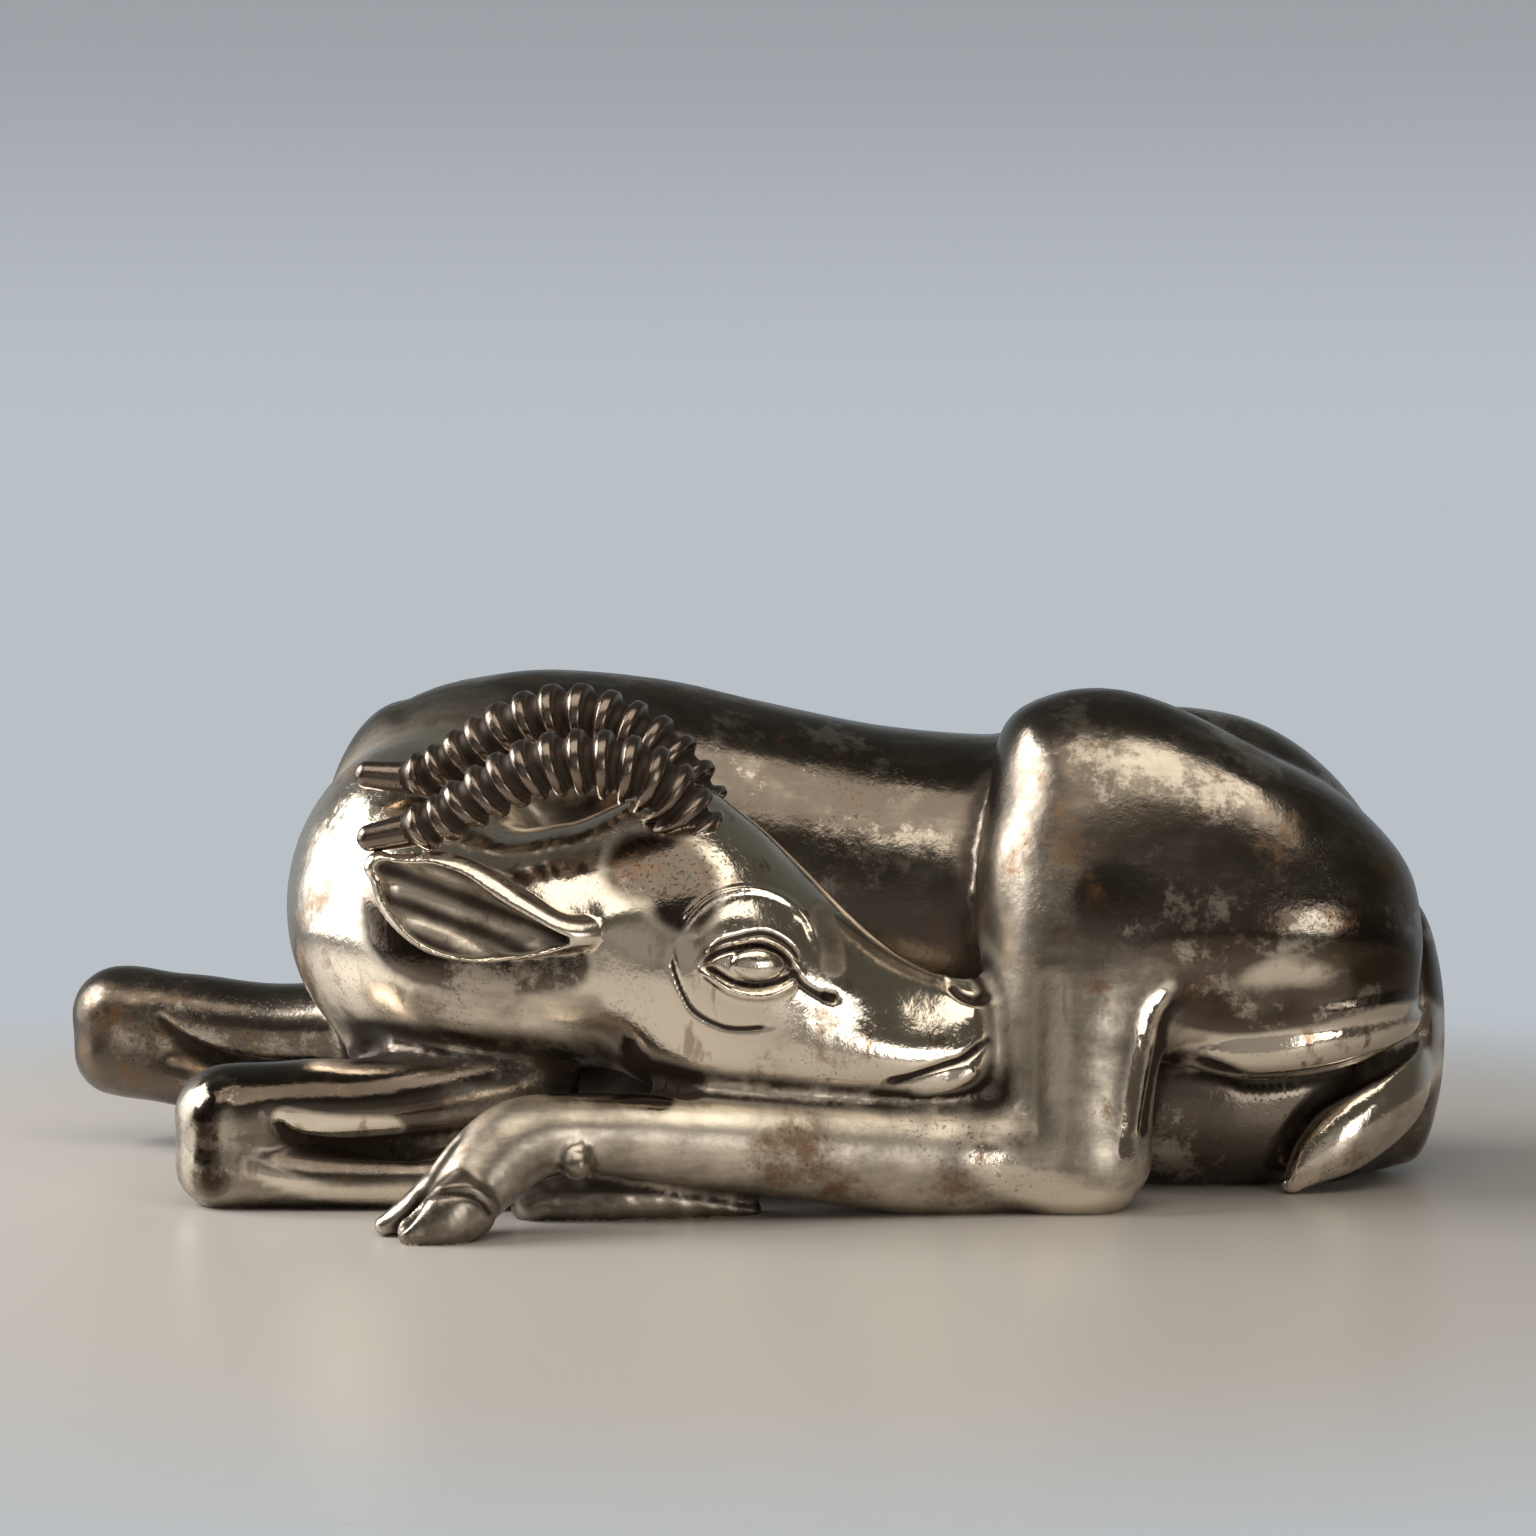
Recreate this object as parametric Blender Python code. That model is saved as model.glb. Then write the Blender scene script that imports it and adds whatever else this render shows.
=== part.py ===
"""Recumbent antelope, one metal casting, with its head turned back to rest on its hind leg.

Metres, +Z up. X runs from the folded knees (-X) to the rump (+X), and the head side faces -Y.
The animal is lofted form by form along curved spines. The forms are fused by a voxel remesh,
hollowed at the ear and thinned. Then the eye and the ringed horns are joined on, the nostril, mouth
and cloven hoof are cut in, and the whole is cut flat where it stands.
"""

import math

import bmesh
import bpy
from mathutils import Matrix, Vector

# Where the drawing's zero lies in the part's frame, whose origin is the middle of the base.
DATUM = Vector((0.0122, 0.0430, 0.0))

# Fineness of the solid.
VOXEL = 0.0026
SMOOTH_ROUNDS = 5
BODY_TRIANGLES = 6300
LOFT_STEP = 0.006
LOFT_SIDES = 28
CAP_RINGS = 5
FINE_SIDES = 8
FINE_CAP_RINGS = 2

# Horns: a smooth taper under bead-like rings, which lean like chevrons and stop before the tip.
HORN_ROOT_RADIUS = 0.0118
HORN_TIP_RADIUS = 0.0056
HORN_TAPER = 2.5
HORN_RINGS = 14
HORN_RING_RISE = 0.0032
HORN_RING_LEAN = 0.0040
HORN_SMOOTH_TIP = 0.022
HORN_SIDES = 14
SECTIONS_PER_RING = 4

# The cut that makes the flat underside.
FLOOR_DEPTH = 0.030
FLOOR_MARGIN = 0.050

UP = Vector((0, 0, 1))
ALONG = Vector((1, 0, 0))
TO_VIEWER = Vector((0, -1, 0))
HEAD_ROLL = math.radians(-20)

# Each station is the centre x, y, z of a section, then its half width and its half height.
TORSO = (
    (-0.162, 0.030, 0.112, 0.072, 0.107),
    (-0.135, 0.031, 0.114, 0.079, 0.115),
    (-0.105, 0.032, 0.114, 0.082, 0.119),
    (-0.065, 0.034, 0.113, 0.084, 0.1165),
    (-0.020, 0.036, 0.108, 0.083, 0.1115),
    (0.042, 0.038, 0.102, 0.082, 0.105),
    (0.100, 0.036, 0.099, 0.084, 0.103),
    (0.150, 0.030, 0.100, 0.086, 0.104),
)
RUMP = (
    (0.130, 0.018, 0.106, 0.078, 0.104),
    (0.180, 0.016, 0.107, 0.082, 0.109),
    (0.215, 0.012, 0.105, 0.080, 0.108),
    (0.240, 0.008, 0.100, 0.076, 0.103),
    (0.263, 0.004, 0.092, 0.068, 0.093),
    (0.283, 0.000, 0.080, 0.056, 0.080),
    (0.300, -0.002, 0.066, 0.038, 0.062),
)
NECK = (
    (-0.070, 0.045, 0.135, 0.060, 0.080),
    (-0.120, 0.022, 0.132, 0.062, 0.079),
    (-0.157, -0.030, 0.127, 0.063, 0.075),
    (-0.130, -0.078, 0.116, 0.056, 0.055),
    (-0.085, -0.098, 0.112, 0.050, 0.049),
    (-0.040, -0.104, 0.112, 0.046, 0.050),
)
BRISKET = (
    (-0.150, -0.030, 0.085, 0.040, 0.030),
    (-0.172, -0.055, 0.070, 0.022, 0.014),
    (-0.182, -0.068, 0.063, 0.007, 0.005),
)
SKULL = (
    (-0.056, -0.104, 0.126, 0.040, 0.058),
    (-0.032, -0.106, 0.122, 0.046, 0.066),
    (-0.006, -0.107, 0.111, 0.045, 0.059),
    (0.016, -0.108, 0.1005, 0.040, 0.049),
    (0.038, -0.109, 0.0900, 0.033, 0.0385),
    (0.056, -0.110, 0.0825, 0.027, 0.0310),
    (0.074, -0.111, 0.0780, 0.022, 0.0260),
    (0.087, -0.111, 0.0790, 0.018, 0.0210),
)
JAW = (
    (-0.054, -0.110, 0.0920, 0.026, 0.0230),
    (-0.032, -0.115, 0.0795, 0.028, 0.0250),
    (0.000, -0.119, 0.0755, 0.028, 0.0235),
    (0.030, -0.120, 0.0725, 0.026, 0.0210),
    (0.058, -0.120, 0.0690, 0.022, 0.0190),
    (0.078, -0.118, 0.0665, 0.018, 0.0170),
)
HAUNCH = (
    (0.148, -0.050, 0.2274, 0.0012, 0.0010),
    (0.1485, -0.050, 0.2262, 0.0128, 0.0109),
    (0.149, -0.050, 0.2220, 0.027, 0.023),
    (0.152, -0.049, 0.2150, 0.041, 0.035),
    (0.161, -0.048, 0.2020, 0.057, 0.049),
    (0.180, -0.048, 0.180, 0.079, 0.062),
    (0.193, -0.050, 0.150, 0.0965, 0.070),
    (0.197, -0.052, 0.120, 0.101, 0.073),
    (0.200, -0.048, 0.092, 0.098, 0.066),
)
SHANK = (
    (0.146, -0.068, 0.165, 0.038, 0.036),
    (0.141, -0.078, 0.145, 0.041, 0.037),
    (0.138, -0.089, 0.115, 0.040, 0.036),
    (0.136, -0.101, 0.080, 0.036, 0.031),
    (0.134, -0.109, 0.050, 0.032, 0.028),
    (0.133, -0.114, 0.022, 0.031, 0.028),
)
TENDON = (
    (0.176, -0.098, 0.108, 0.006, 0.008),
    (0.171, -0.106, 0.090, 0.006, 0.009),
    (0.165, -0.110, 0.060, 0.006, 0.010),
    (0.160, -0.114, 0.020, 0.007, 0.014),
)
METATARSUS = (
    (0.142, -0.114, 0.022, 0.026, 0.024),
    (0.110, -0.116, 0.022, 0.025, 0.025),
    (0.060, -0.126, 0.024, 0.022, 0.023),
    (-0.003, -0.140, 0.0315, 0.021, 0.020),
    (-0.055, -0.155, 0.0375, 0.020, 0.0175),
    (-0.086, -0.166, 0.041, 0.019, 0.0165),
    (-0.106, -0.174, 0.038, 0.019, 0.0185),
    (-0.120, -0.182, 0.0275, 0.0195, 0.0185),
    (-0.131, -0.190, 0.016, 0.020, 0.016),
)
NEAR_CLAW = (
    (-0.126, -0.200, 0.0155, 0.0105, 0.0150),
    (-0.136, -0.206, 0.0090, 0.0105, 0.0135),
    (-0.148, -0.209, 0.0045, 0.0070, 0.0075),
)
FAR_CLAW = (
    (-0.132, -0.182, 0.0190, 0.0095, 0.0140),
    (-0.146, -0.186, 0.0105, 0.0095, 0.0110),
    (-0.162, -0.189, 0.0045, 0.0050, 0.0045),
)
NEAR_DEWCLAW = (
    (-0.081, -0.178, 0.030, 0.0075, 0.0075),
    (-0.081, -0.184, 0.030, 0.0070, 0.0070),
)
SCRAP = (
    (-0.102, -0.142, 0.007, 0.011, 0.010),
    (-0.060, -0.138, 0.009, 0.013, 0.013),
    (-0.030, -0.132, 0.006, 0.012, 0.010),
    (-0.008, -0.128, 0.002, 0.008, 0.005),
)
NEAR_FOREARM = (
    (-0.240, -0.100, 0.040, 0.026, 0.0205),
    (-0.205, -0.099, 0.041, 0.026, 0.0180),
    (-0.170, -0.097, 0.044, 0.027, 0.0180),
    (-0.110, -0.085, 0.055, 0.034, 0.026),
)
NEAR_CANNON = (
    (-0.240, -0.100, 0.018, 0.026, 0.020),
    (-0.190, -0.102, 0.013, 0.025, 0.0155),
    (-0.090, -0.104, 0.013, 0.023, 0.0150),
)
NEAR_KNEE = (
    (-0.236, -0.100, 0.041, 0.0250, 0.0260),
    (-0.236, -0.100, 0.018, 0.0250, 0.0260),
)
FAR_FOREARM = (
    (-0.317, 0.090, 0.063, 0.026, 0.0215),
    (-0.280, 0.084, 0.060, 0.026, 0.0180),
    (-0.230, 0.074, 0.057, 0.027, 0.0180),
    (-0.150, 0.055, 0.062, 0.036, 0.028),
)
FAR_CANNON = (
    (-0.317, 0.090, 0.045, 0.026, 0.020),
    (-0.270, 0.084, 0.033, 0.024, 0.0165),
    (-0.150, 0.070, 0.014, 0.022, 0.0150),
)
FAR_KNEE = (
    (-0.312, 0.090, 0.066, 0.0250, 0.0260),
    (-0.312, 0.090, 0.044, 0.0250, 0.0260),
)
SHOULDER = (
    (-0.085, 0.078, 0.165, 0.036, 0.040),
    (-0.110, 0.080, 0.120, 0.040, 0.046),
    (-0.112, 0.074, 0.070, 0.040, 0.042),
)
FAR_THIGH = (
    (0.145, 0.076, 0.150, 0.036, 0.044),
    (0.180, 0.074, 0.128, 0.044, 0.062),
    (0.215, 0.060, 0.105, 0.046, 0.062),
    (0.240, 0.045, 0.085, 0.042, 0.050),
)
FAR_SHANK = (
    (0.140, 0.086, 0.145, 0.036, 0.026),
    (0.140, 0.096, 0.095, 0.034, 0.024),
    (0.150, 0.100, 0.050, 0.030, 0.024),
    (0.160, 0.100, 0.022, 0.026, 0.024),
)
FAR_METATARSUS = (
    (0.168, 0.100, 0.020, 0.022, 0.022),
    (0.110, 0.104, 0.019, 0.021, 0.021),
    (0.030, 0.108, 0.018, 0.019, 0.019),
    (-0.010, 0.110, 0.018, 0.020, 0.018),
    (-0.040, 0.110, 0.012, 0.020, 0.013),
)
SEAT = (
    (0.160, -0.024, 0.040, 0.046, 0.042),
    (0.210, -0.022, 0.038, 0.046, 0.042),
    (0.252, -0.016, 0.036, 0.042, 0.040),
)
BUTTOCK_FOLD = (
    (0.184, -0.090, 0.066, 0.012, 0.006),
    (0.215, -0.088, 0.068, 0.020, 0.014),
    (0.248, -0.078, 0.074, 0.024, 0.018),
    (0.274, -0.060, 0.077, 0.024, 0.013),
    (0.288, -0.046, 0.077, 0.014, 0.007),
)
TAIL = (
    (0.300, -0.018, 0.062, 0.012, 0.012),
    (0.288, -0.045, 0.045, 0.016, 0.019),
    (0.264, -0.064, 0.028, 0.013, 0.018),
    (0.246, -0.070, 0.015, 0.010, 0.012),
    (0.236, -0.072, 0.005, 0.006, 0.005),
)
EAR_ROOT = (
    (-0.084, -0.138, 0.1240, 0.013, 0.0085),
    (-0.068, -0.135, 0.1255, 0.016, 0.0140),
    (-0.050, -0.127, 0.1265, 0.014, 0.0130),
)
EAR = (
    (-0.074, -0.139, 0.1245, 0.013, 0.0100),
    (-0.088, -0.146, 0.1245, 0.014, 0.0095),
    (-0.104, -0.148, 0.1275, 0.014, 0.0145),
    (-0.122, -0.149, 0.1320, 0.014, 0.0205),
    (-0.140, -0.147, 0.1375, 0.013, 0.0225),
    (-0.156, -0.143, 0.1445, 0.011, 0.0175),
    (-0.168, -0.140, 0.1530, 0.007, 0.0070),
)
EAR_HOLLOW = (
    (-0.084, -0.162, 0.1250, 0.010, 0.0020),
    (-0.104, -0.162, 0.1280, 0.013, 0.0110),
    (-0.122, -0.162, 0.1320, 0.014, 0.0180),
    (-0.140, -0.160, 0.1380, 0.014, 0.0200),
    (-0.154, -0.156, 0.1445, 0.012, 0.0150),
    (-0.165, -0.152, 0.1520, 0.008, 0.0050),
)
# Raised on the face: the rim of the eye socket, both lids and the eyeball.
ORBIT_RIM = (
    (-0.0391, -0.1556, 0.1231, 0.0016, 0.0016),
    (-0.0335, -0.1541, 0.1333, 0.0016, 0.0016),
    (-0.0232, -0.1497, 0.1416, 0.0016, 0.0016),
    (-0.0086, -0.1428, 0.1440, 0.0016, 0.0016),
    (0.0061, -0.1371, 0.1396, 0.0016, 0.0016),
    (0.0165, -0.1365, 0.1300, 0.0016, 0.0016),
    (0.0216, -0.1408, 0.1169, 0.0016, 0.0016),
)
UPPER_LID = (
    (-0.0292, -0.1574, 0.1134, 0.0014, 0.0018),
    (-0.0215, -0.1562, 0.1193, 0.0018, 0.0024),
    (-0.0120, -0.1539, 0.1217, 0.0018, 0.0026),
    (-0.0017, -0.1503, 0.1222, 0.0018, 0.0026),
    (0.0069, -0.1482, 0.1176, 0.0018, 0.0024),
    (0.0129, -0.1476, 0.1094, 0.0014, 0.0018),
)
LOWER_LID = (
    (-0.0296, -0.1576, 0.1112, 0.0014, 0.0018),
    (-0.0236, -0.1571, 0.1060, 0.0018, 0.0024),
    (-0.0146, -0.1556, 0.1003, 0.0018, 0.0026),
    (-0.0026, -0.1537, 0.0983, 0.0018, 0.0026),
    (0.0078, -0.1509, 0.1015, 0.0018, 0.0024),
    (0.0138, -0.1478, 0.1068, 0.0014, 0.0018),
)
EYEBALL = (
    (-0.0145, -0.1545, 0.1118, 0.0040, 0.0030),
    (-0.0080, -0.1530, 0.1118, 0.0078, 0.0048),
    (-0.0010, -0.1512, 0.1116, 0.0078, 0.0048),
    (0.0055, -0.1492, 0.1112, 0.0040, 0.0030),
)
# Cut into the head and the hoof: the tear groove, the nostril, the mouth and the cleft.
TEAR_GROOVE = (
    (0.0120, -0.1492, 0.1080, 0.0013, 0.0024),
    (0.0151, -0.1487, 0.1029, 0.0014, 0.0026),
    (0.0229, -0.1468, 0.0980, 0.0018, 0.0026),
    (0.0303, -0.1446, 0.0960, 0.0026, 0.0026),
)
NOSTRIL = (
    (0.0789, -0.1200, 0.1000, 0.0014, 0.0040),
    (0.0844, -0.1232, 0.0953, 0.0020, 0.0040),
    (0.0910, -0.1232, 0.0927, 0.0020, 0.0040),
    (0.0960, -0.1190, 0.0938, 0.0014, 0.0040),
)
MOUTH = (
    (0.0499, -0.1399, 0.0589, 0.0010, 0.0020),
    (0.0599, -0.1400, 0.0606, 0.0014, 0.0026),
    (0.0751, -0.1384, 0.0656, 0.0014, 0.0026),
    (0.0861, -0.1348, 0.0696, 0.0014, 0.0026),
    (0.0960, -0.1279, 0.0762, 0.0014, 0.0026),
)
CLEFT = (
    (-0.1340, -0.1860, 0.0390, 0.0010, 0.0030),
    (-0.1410, -0.1912, 0.0295, 0.0016, 0.0045),
    (-0.1450, -0.1975, 0.0210, 0.0018, 0.0050),
    (-0.1500, -0.2005, 0.0120, 0.0018, 0.0055),
    (-0.1600, -0.2005, 0.0010, 0.0018, 0.0060),
)
NEAR_HORN = (
    (-0.032, -0.116, 0.162),
    (-0.042, -0.125, 0.1815),
    (-0.056, -0.132, 0.1925),
    (-0.076, -0.136, 0.1975),
    (-0.100, -0.138, 0.1955),
    (-0.124, -0.138, 0.1840),
    (-0.145, -0.138, 0.1715),
    (-0.178, -0.137, 0.1640),
)
FAR_HORN = (
    (-0.030, -0.086, 0.170),
    (-0.042, -0.087, 0.1920),
    (-0.060, -0.088, 0.2070),
    (-0.085, -0.089, 0.2160),
    (-0.110, -0.088, 0.2120),
    (-0.134, -0.086, 0.1990),
    (-0.155, -0.085, 0.1890),
    (-0.184, -0.084, 0.1900),
)


def spline(stations, step=LOFT_STEP):
    """Samples a Catmull-Rom curve through the stations, about one step apart, all values alike."""
    rows = [Vector(s) for s in stations]
    rows = [2 * rows[0] - rows[1], *rows, 2 * rows[-1] - rows[-2]]
    out = []
    for a, b, c, d in zip(rows, rows[1:], rows[2:], rows[3:]):
        count = max(2, round((Vector(c[:3]) - Vector(b[:3])).length / step))
        for i in range(count):
            t = i / count
            out.append(
                0.5 * (2 * b + (c - a) * t + (2 * a - 5 * b + 4 * c - d) * t**2
                       + (3 * b - a - 3 * c + d) * t**3)
            )
    out.append(rows[-2])
    return out


def capped(samples, roundness, cap_rings):
    """Adds rings that close each end of a loft like half an ellipsoid."""
    def cap(end, inner):
        centre, before = Vector(end[:3]), Vector(inner[:3])
        reach = (centre - before).normalized() * min(end[3], end[4]) * roundness
        rings = []
        for i in range(1, cap_rings):
            angle = math.pi / 2 * i / cap_rings
            rings.append(Vector((*(centre + reach * math.sin(angle)),
                                 end[3] * math.cos(angle), end[4] * math.cos(angle))))
        return rings, centre + reach

    head, head_pole = cap(samples[0], samples[1])
    tail, tail_pole = cap(samples[-1], samples[-2])
    return head[::-1] + samples + tail, head_pole, tail_pole


def frames(rows, upward, roll=0.0, facing=None):
    """The side and the top direction of each section, square to the spine or to one direction."""
    found = []
    for i in range(len(rows)):
        ahead = Vector(rows[min(i + 1, len(rows) - 1)][:3])
        behind = Vector(rows[max(i - 1, 0)][:3])
        along = facing or (ahead - behind).normalized()
        side = along.cross(upward).normalized()
        turn = Matrix.Rotation(roll, 3, along)
        found.append((turn @ side, turn @ side.cross(along), along))
    return found


def skin(bm, rings, first_pole, last_pole):
    """Joins rings of points by quads, and closes both ends on a pole."""
    rings = [[bm.verts.new(point) for point in ring] for ring in rings]
    sides = len(rings[0])
    for a, b in zip(rings, rings[1:]):
        for k in range(sides):
            n = (k + 1) % sides
            bm.faces.new((a[k], a[n], b[n], b[k]))
    start, end = bm.verts.new(first_pole), bm.verts.new(last_pole)
    for k in range(sides):
        n = (k + 1) % sides
        bm.faces.new((rings[0][n], rings[0][k], start))
        bm.faces.new((rings[-1][k], rings[-1][n], end))


def loft(bm, stations, upward=UP, power=2.0, roundness=1.0, roll=0.0, facing=None,
         sides=LOFT_SIDES, cap_rings=CAP_RINGS):
    """Skins superellipse sections along a smooth spine."""
    rows, first_pole, last_pole = capped(spline(stations), roundness, cap_rings)
    rings = []
    for row, (side, top, _) in zip(rows, frames(rows, upward, roll, facing)):
        ring = []
        for k in range(sides):
            angle = 2 * math.pi * k / sides
            c, s = math.cos(angle), math.sin(angle)
            across = math.copysign(abs(c) ** (2 / power), c) * row[3]
            rise = math.copysign(abs(s) ** (2 / power), s) * row[4]
            ring.append(Vector(row[:3]) + side * across + top * rise)
        rings.append(ring)
    skin(bm, rings, first_pole, last_pole)


def horn(bm, spine):
    """A tapered round horn whose radius swells at each ring, in a chevron that leans to the tip."""
    length = sum((Vector(b) - Vector(a)).length for a, b in zip(spine, spine[1:]))
    ringed = length - HORN_SMOOTH_TIP
    step = ringed / HORN_RINGS / SECTIONS_PER_RING
    rows = spline(spine, step)
    rings = []
    passed = 0.0
    before = rows[0]
    for row, (side, top, along) in zip(rows, frames(rows, UP)):
        passed += (row - before).length
        before = row
        part = passed / length
        radius = HORN_ROOT_RADIUS + (HORN_TIP_RADIUS - HORN_ROOT_RADIUS) * part**HORN_TAPER
        fade = min(1.0, max(0.0, (length - passed) / HORN_SMOOTH_TIP - 1.0) * 2)
        phase = passed / ringed * HORN_RINGS
        swell = HORN_RING_RISE * (1 - 0.5 * part) * fade * abs(math.sin(math.pi * phase))
        ring = []
        for k in range(HORN_SIDES):
            angle = 2 * math.pi * k / HORN_SIDES
            lean = HORN_RING_LEAN * fade * math.cos(angle)
            out = side * math.cos(angle) + top * math.sin(angle)
            ring.append(row + out * (radius + swell) + along * lean)
        rings.append(ring)
    ends = (rows[0] - rows[1]).normalized(), (rows[-1] - rows[-2]).normalized()
    skin(bm, rings, rows[0] + ends[0] * step, rows[-1] + ends[1] * HORN_TIP_RADIUS / 2)


def object_of(name, bm):
    bmesh.ops.recalc_face_normals(bm, faces=bm.faces)
    mesh = bpy.data.meshes.new(name)
    bm.to_mesh(mesh)
    bm.free()
    mesh.transform(Matrix.Translation(DATUM))
    made = bpy.data.objects.new(name, mesh)
    bpy.context.scene.collection.objects.link(made)
    return made


def helper(name, bm):
    """An object that only a Boolean uses."""
    made = object_of(name, bm)
    made.hide_render = True
    made.display_type = "WIRE"
    return made


def fine_form(name, stations):
    """A slender loft on the animal's near side, whose half height lies towards the viewer."""
    bm = bmesh.new()
    loft(bm, stations, upward=TO_VIEWER, sides=FINE_SIDES, cap_rings=FINE_CAP_RINGS)
    return helper(name, bm)


def forms():
    """Every limb as a closed loft, all in one mesh and running into each other."""
    bm = bmesh.new()
    loft(bm, TORSO, power=2.2, roundness=0.7)
    loft(bm, RUMP, power=2.1, roundness=0.5, facing=ALONG)
    loft(bm, NECK)
    loft(bm, BRISKET)
    loft(bm, SKULL, roundness=0.6, roll=HEAD_ROLL, facing=ALONG)
    loft(bm, JAW)
    loft(bm, HAUNCH, upward=TO_VIEWER, power=2.4, roundness=0.55, facing=-UP)
    loft(bm, SHANK, upward=TO_VIEWER, power=2.3)
    loft(bm, TENDON, upward=TO_VIEWER)
    loft(bm, METATARSUS)
    loft(bm, NEAR_CLAW)
    loft(bm, FAR_CLAW)
    loft(bm, NEAR_DEWCLAW)
    loft(bm, SCRAP)
    loft(bm, NEAR_FOREARM)
    loft(bm, NEAR_CANNON)
    loft(bm, NEAR_KNEE, upward=TO_VIEWER, roundness=0.75)
    loft(bm, FAR_FOREARM)
    loft(bm, FAR_CANNON)
    loft(bm, FAR_KNEE, upward=TO_VIEWER, roundness=0.75)
    loft(bm, SHOULDER, upward=TO_VIEWER)
    loft(bm, FAR_THIGH)
    loft(bm, FAR_SHANK, upward=TO_VIEWER)
    loft(bm, FAR_METATARSUS)
    loft(bm, SEAT, power=2.5)
    loft(bm, BUTTOCK_FOLD)
    loft(bm, TAIL)
    loft(bm, EAR_ROOT)
    loft(bm, EAR)
    return object_of("antelope", bm)


def floor_block(body):
    """A slab under the animal, wider than it, whose top is the plane it stands on."""
    corners = [Vector(corner) for corner in body.bound_box]
    low = Vector(min(c[i] for c in corners) for i in range(3))
    high = Vector(max(c[i] for c in corners) for i in range(3))
    bm = bmesh.new()
    bmesh.ops.create_cube(bm, size=1.0)
    size = high - low + Vector((2, 2, 0)) * FLOOR_MARGIN
    for vert in bm.verts:
        vert.co.x = vert.co.x * size.x + (low.x + high.x) / 2 - DATUM.x
        vert.co.y = vert.co.y * size.y + (low.y + high.y) / 2 - DATUM.y
        vert.co.z = (vert.co.z - 0.5) * FLOOR_DEPTH
    return helper("floor_block", bm)


def boolean(body, operation, other):
    step = body.modifiers.new(other.name, "BOOLEAN")
    step.operation = operation
    step.object = other


def triangle_count(body):
    """How many triangles the object has with its modifiers so far."""
    graph = bpy.context.evaluated_depsgraph_get()
    mesh = body.evaluated_get(graph).to_mesh()
    mesh.calc_loop_triangles()
    count = len(mesh.loop_triangles)
    body.evaluated_get(graph).to_mesh_clear()
    return count


def polished_metal():
    material = bpy.data.materials.new("silvered_bronze")
    material.use_nodes = True
    shader = material.node_tree.nodes["Principled BSDF"]
    shader.inputs["Base Color"].default_value = (0.36, 0.31, 0.25, 1)
    shader.inputs["Metallic"].default_value = 1.0
    shader.inputs["Roughness"].default_value = 0.25
    return material


def main():
    for old in list(bpy.data.objects):
        bpy.data.objects.remove(old, do_unlink=True)
    body = forms()
    body.data.materials.append(polished_metal())

    fuse = body.modifiers.new("fuse", "REMESH")
    fuse.mode = "VOXEL"
    fuse.voxel_size = VOXEL
    fuse.use_smooth_shade = True
    soften = body.modifiers.new("soften", "SMOOTH")
    soften.iterations = SMOOTH_ROUNDS

    bm = bmesh.new()
    loft(bm, EAR_HOLLOW)
    boolean(body, "DIFFERENCE", helper("ear_hollow", bm))

    thin = body.modifiers.new("thin", "DECIMATE")
    thin.ratio = 1.0
    thin.ratio = BODY_TRIANGLES / triangle_count(body)

    raised = {
        "orbit_rim": ORBIT_RIM, "upper_lid": UPPER_LID, "lower_lid": LOWER_LID, "eyeball": EYEBALL,
    }
    for name, stations in raised.items():
        boolean(body, "UNION", fine_form(name, stations))
    cut_in = {"tear_groove": TEAR_GROOVE, "nostril": NOSTRIL, "mouth": MOUTH, "cleft": CLEFT}
    for name, stations in cut_in.items():
        boolean(body, "DIFFERENCE", fine_form(name, stations))

    for name, spine in (("near_horn", NEAR_HORN), ("far_horn", FAR_HORN)):
        bm = bmesh.new()
        horn(bm, spine)
        boolean(body, "UNION", helper(name, bm))
    boolean(body, "DIFFERENCE", floor_block(body))


main()
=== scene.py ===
"""Recumbent antelope in silvered bronze: the fine surface, the finish, the stage and the camera.

The body is one implicit surface. Each limb is a form, which is a superellipse carried along a
smooth spine, and the forms run into each other by smooth minimums. A voxel remesh gives the
first skin, whose points are then carried onto the implicit surface, finer at the head. The
ringed horns and the cupped ear are surfaces of their own, joined to the skin as closed solids.
"""

import math

import bpy
import numpy as np
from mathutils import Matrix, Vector


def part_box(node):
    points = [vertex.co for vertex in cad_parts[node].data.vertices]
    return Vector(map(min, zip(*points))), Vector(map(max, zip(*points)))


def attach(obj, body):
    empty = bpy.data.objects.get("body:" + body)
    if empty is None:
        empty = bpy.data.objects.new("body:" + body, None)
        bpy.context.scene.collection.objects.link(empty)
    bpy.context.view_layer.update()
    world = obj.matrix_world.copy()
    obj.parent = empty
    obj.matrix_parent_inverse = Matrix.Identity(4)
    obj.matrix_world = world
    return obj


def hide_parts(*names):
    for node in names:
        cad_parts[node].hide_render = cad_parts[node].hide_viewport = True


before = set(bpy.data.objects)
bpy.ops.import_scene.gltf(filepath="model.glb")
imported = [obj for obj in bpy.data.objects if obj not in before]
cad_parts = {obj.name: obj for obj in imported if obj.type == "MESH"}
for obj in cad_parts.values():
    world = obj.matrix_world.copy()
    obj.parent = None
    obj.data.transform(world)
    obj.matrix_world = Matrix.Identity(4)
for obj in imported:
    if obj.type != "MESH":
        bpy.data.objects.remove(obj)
CAD_LOW, CAD_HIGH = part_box("antelope")

bl_info = {
    "name": "Antelope casting",
    "version": (1, 0, 0),
    "blender": (4, 5, 0),
    "location": "View3D > Sidebar > Antelope",
    "description": "Builds a recumbent antelope casting, its finish and its stage",
    "category": "Object",
}

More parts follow.
